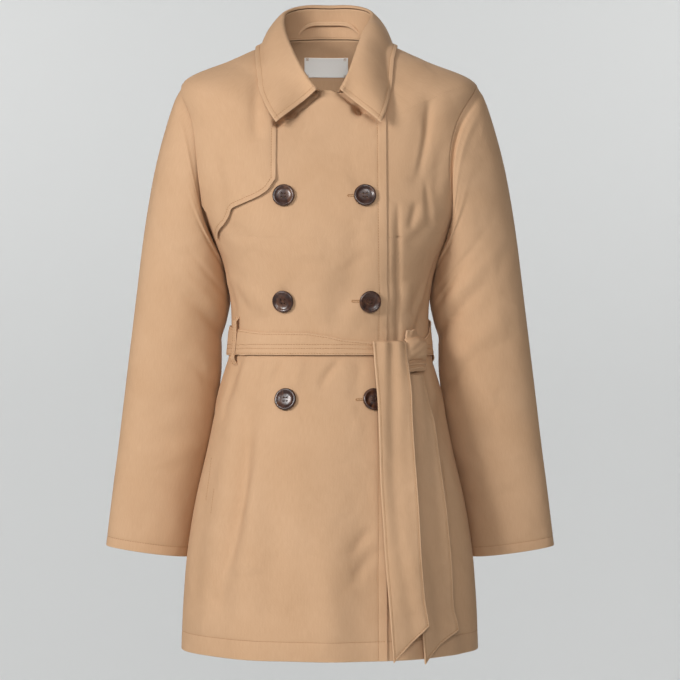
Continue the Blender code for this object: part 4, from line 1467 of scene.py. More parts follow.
    def tube(self, which: Side) -> Array:
        """Rings of one sleeve, on the left side, which turn from the armhole's outline into an oval.

        Args:
            which: The wearer's side that it is on.

        Returns:
            The rings.
        """
        loop, normal = self.armhole(which)
        turn = np.linspace(0, 2 * math.pi, len(loop), endpoint=False)
        tip, pit = loop[0], loop[len(loop) // 2]
        chord = (pit - tip)[[0, 2]]
        across = np.array([chord[1], -chord[0]]) / np.linalg.norm(chord)
        offset = loop[:, [0, 2]] - tip[[0, 2]]
        loop_share, loop_bulge = offset @ chord / (chord @ chord), offset @ across
        rings = [self.root(loop, normal, turn)]
        for number, row in enumerate(self.rings, start=1):
            ring = dict(zip(self.columns, row))
            blend = ease(number, 0, self.blend_rings)
            outer = np.array([ring["outer_x"], ring["outer_z"]])
            run = np.array([ring["inner_x"], ring["inner_z"]]) - outer
            depth = np.where(np.sin(turn) > 0, ring["front_y"], ring["back_y"])
            share = (1 - blend) * loop_share + blend * (1 - np.cos(turn)) / 2
            swing = ring["inner_back"] * ((1 - np.cos(turn)) / 2) ** self.swing_power
            front = np.sin(turn).clip(0) ** self.front_power + np.sin(turn).clip(None, 0)
            y = (1 - blend) * loop[:, 1] + blend * (ring["middle_y"] - depth * front + swing)
            side = np.array([run[1], -run[0]]) / np.linalg.norm(run)
            plane = outer + share[:, None] * run + ((1 - blend) * loop_bulge)[:, None] * side
            rings.append(np.stack([plane[:, 0], y, plane[:, 1]], axis=1))
        last = len(self.rings)
        ring_length = np.linalg.norm(rings[-1][0] - rings[-2][0])
        cuff = edge_distances([self.cuff_stitch])[::-1] / ring_length
        root = edge_distances() / self.root_step
        tuck = loop - normal * self.tuck_depth + self.away(loop, normal) * self.tuck_reach
        even = np.linspace(0, last, self.rows + 1)
        even = even[(even > root[-1] + self.root_step) & (even < last - cuff[0] - self.root_step)]
        at = np.concatenate([root, even, last - cuff])
        flat = np.array(rings).reshape(last + 1, -1)
        grid = np.stack([smooth_through(column, at) for column in flat.T], axis=1).reshape(len(at), -1, 3)
        sleeve = self.creased(grid, at[:, None], turn, (*self.creases, *self.own_creases[which]))
        seam = [tuck * (1 - share) + sleeve[0] * share for share in (0.0, 0.5)]
        return np.concatenate([seam, sleeve])

    def creased(self, grid: Array, at: Array, turn: Array, creases: Sequence[SleeveCrease]) -> Array:
        """Adds the sleeve's troughs and ridges.

        Args:
            grid: The sleeve's rings.
            at: Each row's place among the table's rings.
            turn: Each column's turn round the arm.
            creases: The finer troughs and ridges.

        Returns:
            The creased rings.
        """
        inward = unit(grid.mean(axis=1, keepdims=True) - grid)
        depth = np.zeros(grid.shape[:2])
        for ring, slant, deep in self.main_creases:
            centre = ring + slant * (np.cos(turn) - self.main_lean) / 2
            facing = ((1 - np.cos(turn - self.main_turn)) / 2) ** self.main_sharpness
            depth += deep * facing * np.exp(-(((at - centre) / self.main_width) ** 2))
        for crease in creases:
            away = (np.degrees(turn) - crease.turn) / crease.reach
            centre = crease.ring + crease.slant * away / 2
            depth -= crease.height * np.exp(-(((at - centre) / crease.width) ** 2)) * np.exp(-(away**2))
        return grid + inward * depth[..., None]

    def build(self) -> None:
        """Builds both sleeves."""
        for which in Side:
            grid = self.tube(which) * (which.sign, 1, 1)
            facing_out = grid[:, ::-1] if which is Side.LEFT else grid
            cloth = ClothPiece(f"sleeve_{which}", facing_out[::-1], closed=True,
                               lines=(StitchLine(Edge.LOW, self.cuff_stitch),))
            dress_cloth(cloth, self.finishes)


@dataclass
class Collar:
    """The collar's stand and its leaf, which rolls over and falls to two points."""

    form: TorsoForm
    finishes: Finishes
    half = (  # angle on the neck seam, roll line, outer edge and lean, from the centre back to the point
        (180.0, 0.0000, 0.061, 0.0745, 0.000, 0.098, 0.008, -0.0010),
        (148.0, 0.0290, 0.055, 0.0740, 0.044, 0.091, 0.006, -0.0010),
        (118.0, 0.0495, 0.036, 0.067, 0.074, 0.064, 0.009, -0.0015),
        (92.0, 0.0560, 0.011, 0.055, 0.0865, 0.020, 0.018, -0.0030),
        (66.0, 0.0500, -0.022, 0.029, 0.0875, -0.034, -0.012, -0.0055),
        (42.0, 0.0395, -0.055, 0.000, 0.084, -0.076, -0.046, -0.0055),
        (23.0, 0.0275, -0.081, -0.0270, 0.076, -0.101, -0.072, -0.0035),
        (9.0, 0.0135, -0.0985, -0.0480, 0.066, -0.114, -0.091, -0.0015),
    )
    lap_degrees: Pair = (282.0, 316.0)
    roll_radius: float = 4.4 * MM
    roll_turn: float = 120.0
    roll_rows: int = 12
    first_turns = (0.0, 2.0, 6.0)
    even_turns_from: float = 14.0
    foot_gap: float = 3 * SEAM_GAP
    crown: float = 7 * MM
    crown_lean: Pair = (0.5, 0.8)
    # Where the leaf's curve bends: shares of its fall from the roll and from its edge
    leaving: float = 0.30
    arriving: float = 0.35
    settled_shares: Pair = (0.1, 0.4)
    left_clearance: float = COLLAR_WALL + 1.4 * MM
    right_clearance: float = LAYER_LIFT + COLLAR_WALL + 1.4 * MM
    stitch: float = 6.0 * MM
    foot_stitch: float = 2.5 * MM
    # Where the leaf's stitches start and stop, as shares of its outer edge and of its ends
    rim_stitches: Pair = (0.012, 0.988)
    end_stitches: Pair = (0.1, 0.93)
    # Sizes that set the number of rows and columns
    length: float = 0.46
    leaf_fall: float = 0.075
    stand_height: float = 0.035
    spacing: float = 3.0 * MM
    leaf_spacing: float = 3.2 * MM

    def lines(self, at: Array) -> tuple[Array, Array, Array]:
        """Neck seam, roll line and outer edge.

        Args:
            at: Shares along the collar, from its right front end.

        Returns:
            The three lines' points.
        """
        half = np.array(self.half)
        mirrored = half[::-1].copy()
        mirrored[:, 0] = 360 - mirrored[:, 0]
        mirrored[:, [1, 4]] *= -1
        whole = np.concatenate([mirrored, half[1:]])
        whole[:, [1, 4]] += whole[:, [7]]
        seam_deg, *rest = (smooth_through(column, at * (len(whole) - 1)) for column in whole.T)
        roll, edge = np.stack(rest[:3], axis=1), np.stack(rest[3:6], axis=1)
        angle = np.radians(seam_deg)
        up = unit(self.form.ring(angle, NECK) - self.form.ring(angle, NECK - 0.2))
        lap = LAYER_LIFT * ease(seam_deg, *self.lap_degrees)
        foot = self.form.surface(angle, float(NECK), lap) + self.foot_gap * up
        away = unit(np.cross(roll - foot, np.gradient(roll, axis=0)))
        return foot - COLLAR_WALL * away, roll, edge

    def leaf(self, at: Array) -> Array:
        """The leaf's outer face, from the stand over the roll to its outer edge.

        Args:
            at: Shares along the collar, from its right front end.

        Returns:
            Rows of points, from the stand down.
        """
        seam, roll, edge = self.lines(at)
        rise = unit(roll - seam)
        fall = edge - roll
        outward = unit(fall - rise * (fall * rise).sum(axis=1, keepdims=True))
        start = roll + rise * self.foot_gap
        even_turns = np.linspace(self.even_turns_from, self.roll_turn, self.roll_rows)
        turn = np.radians([*self.first_turns, *even_turns])[:, None, None]
        rolled = start + self.roll_radius * (outward * (1 - np.cos(turn)) + rise * np.sin(turn))
        leaving = outward * np.sin(turn[-1]) + rise * np.cos(turn[-1])
        crown = unit(rise * self.crown_lean[0] + outward * self.crown_lean[1])
        length = np.linalg.norm(edge - rolled[-1], axis=1, keepdims=True)
        controls = (rolled[-1], rolled[-1] + leaving * length * self.leaving,
                    edge - (edge - rolled[-1]) * self.arriving + crown * self.crown, edge)
        outer_rows = edge_distances([self.stitch])
        share = spread(self.leaf_fall, self.leaf_spacing, np.array([0.0]), outer_rows)[1:]
        weights = ((1 - share) ** 3, 3 * share * (1 - share) ** 2, 3 * share**2 * (1 - share), share**3)
        fallen = sum(w[:, None, None] * control for w, control in zip(weights, controls))
        side = np.where(fallen[..., 0] < 0, self.right_clearance, self.left_clearance)
        clear = self.kept_clear(fallen, side)
        settled = ease(share, *self.settled_shares)[:, None, None]
        return np.concatenate([rolled, fallen + (clear - fallen) * settled])

    def kept_clear(self, grid: Array, clearance: Array) -> Array:
        """The grid with each point at least its clearance outside the body.

        Args:
            grid: The points.
            clearance: How far outside each one has to be.

        Returns:
            The moved points.
        """
        tree = self.form.skin()
        moved = grid.copy()
        for index in np.ndindex(grid.shape[:-1]):
            point = Vector(grid[index])
            nearest, normal, _, _ = tree.find_nearest(point)
            short = clearance[index] - (point - nearest).dot(normal)
            if short > 0:
                moved[index] = point + normal * short
        return moved

    def build(self) -> None:
        """Builds the stand and the leaf."""
        ends = edge_distances([self.stitch])
        at = spread(self.length, self.spacing, ends, ends)
        seam, roll, _ = self.lines(at)
        rim = edge_distances()
        share = spread(self.stand_height, self.spacing, rim, rim)[:, None, None]
        stand = ClothPiece("collar_stand", seam * (1 - share) + roll * share, COLLAR_WALL,
                           lines=(StitchLine(Edge.LOW, self.foot_stitch),))
        dress_cloth(stand, self.finishes)
        lines = (StitchLine(Edge.TOP, self.stitch, *self.rim_stitches),
                 *(StitchLine(edge, self.stitch, *self.end_stitches) for edge in (Edge.FIRST, Edge.LAST)))
        leaf = ClothPiece("collar_leaf", self.leaf(at), COLLAR_WALL, lines=lines)
        dress_cloth(leaf, self.finishes)


@dataclass
class StormFlap:
    """The flap on the wearer's right chest, free along its curved lower edge."""

    form: TorsoForm
    finishes: Finishes
    edge_x: float = -0.067
    top_station: float = 15.5
    free_top: float = 12.0
    edge = ((0.0, 9.80), (0.10, 10.08), (0.33, 10.42), (0.45, 10.80), (0.78, 11.22), (0.93, 11.50),
            (1.0, 11.95))
    corner_round: float = 0.05
    corner_steps: int = 9
    edge_lift: float = 2.5 * MM
    armhole_inset: float = 0.010
    low_inset: float = 0.035
    inset_stations: Pair = (10.6, 12.0)
    tip_angle: float = math.radians(68.5)
    tip_stations: Pair = (10.6, 11.6)
    armhole_lift: float = 1.0 * MM
    seam_stations: Pair = (SHOULDER_TIP - 0.4, SHOULDER_TIP + 0.1)
    seam_share: float = 0.2
    stitch: float = 6.0 * MM
    low_stitches: Pair = (0.0, 0.985)
    edge_stitches: Pair = (0.06, 0.8)
    free_height: float = 0.35
    free_from: float = 0.25
    near_armhole: float = 0.3
    # Sizes that set the number of rows and columns
    width: float = 0.115
    free_length: float = 0.055
    upper_rows: int = 43
    spacing: float = 3.0 * MM

    def build(self) -> None:
        """Builds the flap."""
        ends = edge_distances([self.stitch])
        share = spread(self.width, self.spacing, ends, ends)
        known, stations = np.array(self.edge).T
        shifts = np.linspace(-self.corner_round, self.corner_round, self.corner_steps)
        low = np.mean([np.interp(share + shift, known, stations) for shift in shifts], axis=0)
        rise = spread(self.free_length, self.spacing, ends, np.array([0.0]))[:, None]
        above = np.linspace(self.free_top, self.top_station, self.upper_rows + 1)[1:, None] + 0 * share
        station = np.concatenate([low + (self.free_top - low) * rise, above])
        inset = self.armhole_inset + self.low_inset * (1 - ease(station, *self.inset_stations))
        armhole = -self.form.side_angle(station, self.form.front_cut[Side.RIGHT]) + inset
        tip = -math.pi / 2 + (math.pi / 2 - self.tip_angle) * (1 - ease(station, *self.tip_stations))
        armhole = np.maximum(armhole, tip)
        inner = self.form.angle_at_x(station, self.edge_x)
        angle = armhole * (1 - share) + inner * share
        free = np.exp(-(((station - low) / self.free_height) ** 2)) * ease(share, 0.0, self.free_from)
        near_armhole = 1 - ease(share, 0.0, self.near_armhole)
        lift = self.form.lap_lift(angle) + LAYER_LIFT
        sewn = ease(station, *self.seam_stations) * (1 - ease(share, 0.0, self.seam_share))
        out = lift + self.armhole_lift * near_armhole * (1 - sewn) + self.edge_lift * free
        out -= (LAYER_LIFT - WALL) * sewn
        lines = (StitchLine(Edge.LOW, self.stitch, *self.low_stitches),
                 StitchLine(Edge.LAST, self.stitch, *self.edge_stitches))
        cloth = ClothPiece("storm_flap", self.form.surface(angle, station, out), lines=lines)
        dress_cloth(cloth, self.finishes)


@dataclass
class Belt:
    """The belt: its band, side loops, knot and two hanging ends."""

    form: TorsoForm
    finishes: Finishes
    low_z: float = -0.384
    clearance: float = 1.0 * MM
    top = ((-180, -0.343), (-90, -0.345), (-45, -0.3545), (-14, -0.3552), (0, -0.3596), (10, -0.3640),
           (31, -0.3680), (42, -0.3715), (58, -0.3715), (90, -0.347), (180, -0.343))
    roll: float = 2.4 * MM
    low_flare: float = 2.0 * MM
    flare_rows: Pair = (0.0, 0.45)
    flare_facing: Pair = (0.2, 0.7)
    top_settle: float = 0.7 * MM
    settle_rows: Pair = (0.6, 1.0)
    bowl: float = 0.5 * MM
    crumple: float = 0.5 * MM
    crumples: Pair = (2.6, 0.7)
    pull_angle: float = math.radians(45)
    pull_facing: Pair = (0.55, 1.0)
    columns: int = 360
    row_insets: tuple[float, float, float] = (2.2 * MM, 8.7 * MM, 13.5 * MM)
    loop_width: float = 10 * MM
    loop_degrees = {Side.RIGHT: -67.3, Side.LEFT: 100.0}
    loop_z: Pair = (-0.396, -0.334)
    loop_slack: float = 0.6 * MM
    loop_spacing: float = 1.2 * MM
    loop_bend: Pair = (0.80, 0.97)
    tail_columns = ("z", "near_x", "far_x")
    front_tail = (
        (-0.3695, 0.0555, 0.0970), (-0.439, 0.0603, 0.1015), (-0.544, 0.0638, 0.1065),
        (-0.623, 0.0685, 0.1106), (-0.689, 0.0735, 0.1167), (-0.7185, 0.0760, 0.1217),
        (-0.7630, 0.0790, 0.1240),
    )
    front_tail_end_z: Pair = (-0.7630, -0.7185)
    front_tail_out: float = LAYER_LIFT + 11.0 * MM + BELT_WALL
    edge_lifts: Pair = (5.0 * MM, 7.0 * MM)
    tail_cup: float = 1.2 * MM
    tail_sway: float = 1.6 * MM
    sways: Pair = (1.6, 0.25)
    # Folds along a hanging end: how deep they are below and more so at the top, and how they lie
    fold_depth: float = 0.5 * MM
    top_fold_depth: float = 1.6 * MM
    top_fold_fade: float = 0.16
    folds: float = 2.1
    fold_swing: Pair = (0.4, 3.5)
    fold_shift: float = 0.3
    fold_radius: float = 4.5 * MM
    fold_turn: float = 165.0
    fold_first_turn: float = 12.0
    fold_step: float = 9.0
    fold_last_turns = (3.0, 1.0, 0.0)
    rear_tail = (
        (-0.408, 0.0900, 0.1190), (-0.454, 0.0925, 0.1277), (-0.491, 0.0950, 0.1350),
        (-0.552, 0.0990, 0.1413), (-0.612, 0.1035, 0.1466), (-0.6535, 0.1080, 0.1516),
        (-0.696, 0.1115, 0.1556), (-0.729, 0.1150, 0.1604), (-0.768, 0.1190, 0.1600),
    )
    rear_tail_end_z: Pair = (-0.768, -0.729)
    rear_tail_out: float = BELT_WALL + 4.6 * MM
    knot_x: Pair = (0.0975, 0.1250)
    knot_z: Pair = (-0.404, -0.352)
    knot_crown: float = 7.5 * MM
    wrap_middle: float = 0.50
    wrap_half: float = 0.27
    wrap_bow: float = 0.05
    # Rolled bars under the wrap: their share up the knot and their height, then their half width
    knot_bars = ((0.05, 3.6 * MM), (0.155, 4.4 * MM))
    bar_half: float = 0.035
    knot_slant: float = 0.08
    knot_neck_x: float = 0.107
    knot_neck: Pair = (0.74, 1.0)
    knot_top_drop: float = 2.0 * MM
    knot_top_rows: Pair = (0.76, 0.9)
    knot_end_share: float = 0.25
    knot_ripple: float = 0.40 * MM
    knot_ripples: float = 4.5
    knot_gap: float = 1.2 * MM
    tail_stitch: float = 3.0 * MM
    loop_stitch: float = 2.0 * MM
    # Sizes that set the number of rows and columns, each with its spacing
    band_grid: Pair = (0.036, 2.4 * MM)
    loop_grid: Pair = (0.062, 2.0 * MM)
    tail_columns_grid: Pair = (0.042, 2.6 * MM)
    tail_rows_grid: Pair = (0.38, 3.4 * MM)
    knot_columns_grid: Pair = (0.023, 1.2 * MM)
    knot_rows_grid: Pair = (0.060, 1.0 * MM)

    def band(self) -> ClothPiece:
        """The band round the waist, pulled narrow where it enters the knot.

        Returns:
            The piece.
        """
        angle = np.linspace(-math.pi, math.pi, self.columns + 1)[:-1]
        degrees, tops = np.array(self.top, float).T
        top = np.interp(np.degrees(angle), degrees, tops)
        rim = edge_distances(self.row_insets)
        share = spread(*self.band_grid, rim, rim[:7])
        z = self.low_z + (top - self.low_z) * share[:, None]
        share = share[:, None]
        lap = self.form.lap_lift(angle) * (1 - ease(angle, *self.form.lap_drop_angles))
        arch = np.sin(math.pi * share)
        pulled = ease(np.cos(angle - self.pull_angle), *self.pull_facing)
        along, across = self.crumples
        crumple = self.crumple * pulled * np.sin(2 * math.pi * (share * along + angle * across)) * arch
        facing = ease(np.cos(angle), *self.flare_facing)
        flare = self.low_flare * (1 - ease(share, *self.flare_rows)) * facing
        flush = self.top_settle * ease(share, *self.settle_rows)
        out = lap + self.clearance + BELT_WALL + self.bowl * arch * (1 - pulled) + crumple + flare - flush
        angle = angle + 0 * z
        grid = self.form.surface(angle, self.form.station_at_z(angle, z), out)
        lines = (*(StitchLine(Edge.LOW, inset) for inset in self.row_insets),
                 StitchLine(Edge.TOP, self.row_insets[0]))
        return ClothPiece("belt", grid, BELT_WALL, closed=True, lines=lines, roll=self.roll)

    def loops(self) -> list[ClothPiece]:
        """The two side loops that carry the band.

        Returns:
            The pieces.
        """
        rim = edge_distances()
        share = spread(*self.loop_grid, rim, rim)[:, None]
        z = between(self.loop_z, share)
        middle, half = sum(self.loop_z) / 2, (self.loop_z[1] - self.loop_z[0]) / 2
        over = 1 - ease(np.abs(z - middle), *(half * share for share in self.loop_bend))
        across = spread(self.loop_width, self.loop_spacing, rim, rim) - 0.5
        width = self.loop_width / self.form.table["side_x"][WAIST] * across
        stand_off = self.clearance + BELT_WALL + self.loop_slack
        pieces = []
        for which in Side:
            angle = math.radians(self.loop_degrees[which]) + width + 0 * z
            out = self.form.lap_lift(angle) * (which is Side.RIGHT) + SEAM_GAP + WALL + stand_off * over
            grid = self.form.surface(angle, self.form.station_at_z(angle, z), out)
            lines = tuple(StitchLine(edge, self.loop_stitch) for edge in (Edge.FIRST, Edge.LAST))
            pieces.append(ClothPiece(f"belt_loop_{which}", grid, lines=lines))
        return pieces

    def tail(self, rows: Sequence[Sequence[float]], end_z: Pair, out: float,
             edge_lift: float, top_rows: Array) -> tuple[Array, Array]:
        """A hanging end: its edges from the table and its tip cut on a slant.

        Args:
            rows: The table of its edges.
            end_z: Heights of the tip's two corners.
            out: How far it stands off the body.
            edge_lift: How much further its far edge stands off.
            top_rows: Distances of the rows beside its top.

        Returns:
            The grid and its normals on the body.
        """
        edges = dict(zip(self.tail_columns, np.array(rows).T))
        rim = edge_distances([self.tail_stitch])
        share = spread(*self.tail_columns_grid, rim, rim)
        drop = 1 - spread(*self.tail_rows_grid, rim, top_rows)[:, None]
        z = edges["z"][0] + (between(end_z, share) - edges["z"][0]) * drop
        near, far = (smooth_edge(-z, -edges["z"], edges[name]) for name in ("near_x", "far_x"))
        x = near * (1 - share) + far * share
        whole_turn = 2 * math.pi
        cup = (self.tail_cup * np.cos(whole_turn * share) + edge_lift * share**2) * ease(drop, 0.0, 0.2)
        down, across = self.sways
        sway = self.tail_sway * np.sin(whole_turn * (down * drop + across * share)) * ease(drop, 0.05, 0.3)
        swing, rate = self.fold_swing
        folds = np.cos(whole_turn * (self.folds * share + swing * np.sin(rate * drop) + self.fold_shift))
        depth = self.fold_depth + self.top_fold_depth * np.exp(-drop / self.top_fold_fade)
        sway = sway + depth * folds * np.sin(math.pi * share) ** 0.5
        angle, station = self.form.place_at(x, z, out)
        grid = self.form.surface(angle, station, out + cup + sway)
        grid[..., 2] = z
        return grid, self.form.normal(angle, station)

    def tails(self) -> list[ClothPiece]:
        """The two hanging ends. The front one turns back over the band's upper edge.

        Returns:
            The pieces.
        """
        rim = edge_distances()
        near, far = self.edge_lifts
        rear, _ = self.tail(self.rear_tail, self.rear_tail_end_z, self.rear_tail_out, far, rim)
        front, normal = self.tail(self.front_tail, self.front_tail_end_z, self.front_tail_out, near,
                                  np.array([0.0]))
        back = -unit(normal[-1] * (1, 1, 0))
        even_turns = np.arange(self.fold_first_turn, self.fold_turn - self.fold_step + 1, self.fold_step)
        last_turns = (self.fold_turn - before for before in self.fold_last_turns)
        turn = np.radians([*even_turns, *last_turns])[:, None, None]
        rise = np.array([0.0, 0.0, 1.0])
        fold = front[-1] + self.fold_radius * (rise * np.sin(turn) + back * (1 - np.cos(turn)))
        lines = tuple(StitchLine(edge, self.tail_stitch) for edge in (Edge.LOW, Edge.FIRST, Edge.LAST))
        return [ClothPiece("belt_tail_rear", rear, BELT_WALL, lines=lines),
                ClothPiece("belt_tail_front", np.concatenate([front, fold]), BELT_WALL, lines=lines)]

    def knot(self) -> ClothPiece:
        """The wrap round the band: drawn in by soft pleats at its lower half.

        Returns:
            The piece.
        """
        rim = edge_distances()
        across = spread(*self.knot_columns_grid, rim, rim)
        share = spread(*self.knot_rows_grid, rim, rim)[:, None]
        x = between(self.knot_x, across)
        x = x + (self.knot_neck_x - x) * 0.5 * ease(share, *self.knot_neck)
        z = between(self.knot_z, share) + self.knot_slant * (x - self.knot_x[0])
        bend = self.wrap_bow * np.sin(math.pi * across)
        wrap = np.sqrt((1 - ((share - self.wrap_middle - bend) / self.wrap_half) ** 2).clip(0))
        bars = sum(height * np.exp(-(((share - at - 0.5 * bend) / self.bar_half) ** 2))
                   for at, height in self.knot_bars)
        round_ends = np.sqrt((1 - (2 * across - 1) ** 4).clip(0))
        phase = self.knot_ripples * share + 0.5 * np.sin(4 * across + 1)
        ripple = self.knot_ripple * np.sin(2 * math.pi * phase)
        seat = self.clearance + 2 * BELT_WALL + self.knot_gap
        full = between((self.knot_end_share, 1.0), round_ends)
        out = seat + ripple * round_ends + (self.knot_crown * wrap + bars) * full
        out = out - self.knot_top_drop * ease(share, *self.knot_top_rows)
        angle, station = self.form.place_at(x, z, seat + 4 * MM)
        return ClothPiece("belt_knot", self.form.surface(angle, station, out), BELT_WALL)

    def build(self) -> None:
        """Builds the belt's pieces."""
        dress_cloth(self.band(), self.finishes)
        for cloth in (*self.loops(), *self.tails()):
            dress_cloth(cloth, self.finishes)
        dress_cloth(self.knot(), self.finishes)


@dataclass
class Buttons:
    """Six four-hole buttons in two columns, with their thread, and the right column's buttonholes."""

    form: TorsoForm
    finishes: Finishes
    profile = ((0.0, 0.0023), (0.0060, 0.0024), (0.0089, 0.0028), (0.0101, 0.0036), (0.0112, 0.0043),
               (0.0122, 0.00445), (0.0132, 0.0041), (0.0139, 0.0031), (0.0140, 0.0022), (0.0134, 0.0010),
               (0.0118, 0.0), (0.0, 0.0))
    steps: int = 72
    hole_radius: float = 1.1 * MM
    hole_pitch: float = 4.6 * MM
    hole_sides: int = 20
    bore_depth: float = 0.02
    sharp_angle: float = math.radians(50)
    seat: float = 0.6 * MM
    columns = {Side.RIGHT: -0.057, Side.LEFT: 0.044}
    rows = {Row.TOP: -0.184, Row.MIDDLE: -0.315, Row.BOTTOM: -0.439}
    shifted = {(Side.LEFT, Row.MIDDLE): 0.005, (Side.LEFT, Row.BOTTOM): 0.010,
               (Side.RIGHT, Row.BOTTOM): 0.003}
    slit_length: float = 0.021
    slit_start: float = -0.004
    slit_half: float = 0.25 * MM
    purl: float = 1.5 * MM
    purl_pitch: float = 0.9 * MM
    purl_radius: float = 0.42 * MM
    # Purl stitches round the slit's end: how far round they turn, and the first one's radius
    end_turn: float = 1.2
    end_purls: int = 7
    end_radius: float = 0.3 * MM
    rim_radius: float = 0.0118
    rim_points: int = 24
    strand_shift: float = 0.35 * MM
    strand_reach: float = 0.3 * MM
    strand_height: float = 0.0025
    strand_radius: float = 0.34 * MM

    def place(self, column: Side, row: Row) -> Matrix:
        """The button's place on the right front: its seat and the cloth's outward direction.

        Args:
            column: The button's column.
            row: Its row.

        Returns:
            The place.
        """
        x = self.columns[column] + self.shifted.get((column, row), 0.0)
        z = self.rows[row]
        angle, station = self.form.place_at(x, z)
        normal = np.array(self.form.normal(angle, station))
        seat = np.array(self.form.surface(angle, station, self.form.lap_lift(angle)))
        turn = np.linspace(0, 2 * math.pi, self.rim_points + 1)[:-1]
        around = self.form.place_at(x + self.rim_radius * np.cos(turn), z + self.rim_radius * np.sin(turn))
        rim = self.form.surface(*around, self.form.lap_lift(around[0]))
        rise = max(0.0, ((rim - seat) @ normal).max())
        spot = Vector(seat + normal * (self.seat + rise))
        return Matrix.Translation(spot) @ Vector(normal).to_track_quat("Z", "Y").to_matrix().to_4x4()

    def turned(self) -> bpy.types.Mesh:
        """The button's mesh: a profile turned round, with four thread holes bored through.

        Returns:
            The mesh.
        """
        profile = bpy.data.meshes.new("button_profile")
        points = [(radius, 0.0, height) for radius, height in self.profile]
        profile.from_pydata(points, [(k, k + 1) for k in range(len(points) - 1)], [])
        blank = new_object("button_blank", profile)
        screw = blank.modifiers.new("turned", "SCREW")
        screw.steps = screw.render_steps = self.steps
        screw.use_merge_vertices = True
        screw.merge_threshold = 1e-5
        shape = bmesh.new()
        half = self.hole_pitch / 2
        for x in (-half, half):
            for y in (-half, half):
                bmesh.ops.create_cone(shape, cap_ends=True, segments=self.hole_sides, depth=self.bore_depth,
                                      radius1=self.hole_radius, radius2=self.hole_radius,
                                      matrix=Matrix.Translation((x, y, 0)))
        cutter_mesh = bpy.data.meshes.new("button_cutter")
        shape.to_mesh(cutter_mesh)
        shape.free()
        cutter = new_object("button_cutter", cutter_mesh)
        bore = blank.modifiers.new("holes", "BOOLEAN")
        bore.object = cutter
        bore.solver = "EXACT"
        graph = bpy.context.evaluated_depsgraph_get()
        mesh = bpy.data.meshes.new_from_object(blank.evaluated_get(graph))
        mesh.materials.clear()
        mesh.materials.append(self.finishes.horn)
        mesh.shade_smooth()
        mesh.set_sharp_from_angle(angle=self.sharp_angle)
        bpy.data.objects.remove(blank)
        bpy.data.objects.remove(cutter)
        return mesh

    def thread(self, name: str, place: Matrix) -> Object:
        """The thread over a button: two pairs of strands that cross between its holes.

        Args:
            name: The thread's name.
            place: The button's place.

        Returns:
            The thread.
        """
        half = self.hole_pitch / 2
        starts, ends = [], []
        for y in (-half, half):
            for shift in (-self.strand_shift, self.strand_shift):
                starts.append((-half - self.strand_reach, y + shift, self.strand_height))
                ends.append((half + self.strand_reach, y - shift, self.strand_height))
        turn = np.array(place.to_3x3())
        origin = np.array(place.translation)
        starts, ends = (np.array(points) @ turn.T + origin for points in (starts, ends))
        normals = np.broadcast_to(turn[:, 2], starts.shape)
        sewing = Sewing()
        strands = sewing.capsules(starts, ends, normals, self.strand_radius)
        return sewing.mesh_object(name, [strands], self.finishes.button_thread)

    def buttonhole(self, row: Row, tree: BVHTree) -> Object:
        """A worked buttonhole: close purl stitches round a slit, from the button inwards.

        Args:
            row: The row of its button.
            tree: The right front's outer face.

        Returns:
            The stitches.
        """
        x = self.columns[Side.LEFT] + self.shifted.get((Side.LEFT, row), 0.0)
        z = self.rows[row]
        sewing = Sewing()
        run = np.arange(self.slit_start, self.slit_length, self.purl_pitch)
        starts, ends = [], []
        for side in (-1, 1):
            for step in run:
                starts.append((x - step, z + side * self.slit_half))
                ends.append((x - step, z + side * (self.slit_half + self.purl)))
        tip = x - run[-1]
        for turn in np.linspace(-self.end_turn, self.end_turn, self.end_purls):
            for points, radius in ((starts, self.end_radius), (ends, self.end_radius + self.purl)):
                points.append((tip - radius * math.cos(turn), z + radius * math.sin(turn)))
        placed = []
        for points in (starts, ends):
            around = self.form.place_at(*np.array(points).T)
            seat = self.form.surface(*around, self.form.lap_lift(around[0]))
            placed.append(sewing.on_surface(seat, tree))
        (start, normal), (end, _) = placed
        purls = sewing.capsules(start, end, normal, self.purl_radius)
        return sewing.mesh_object(f"buttonhole_{row}", [purls], self.finishes.thread)

    def build(self, right_front: Object) -> None:
        """Builds the buttons, their thread and the buttonholes.

        Args:
            right_front: The finished right front, which carries them.
        """
        mesh = self.turned()
        for column in self.columns:
            for row in self.rows:
                place = self.place(column, row)
                own = mesh.copy()
                own.transform(place)
                name = f"button_{column}_{row}"
                place_piece(new_object(name, own), "horn_buttons", name)
                place_piece(self.thread(f"{name}_thread", place), "cotton_gabardine")
                LOG.info("%s: %d faces", name, len(own.polygons))
        tree = outer_face(right_front)
        for row in self.rows:
            place_piece(self.buttonhole(row, tree), "cotton_gabardine")
            LOG.info("buttonhole_%s", row)


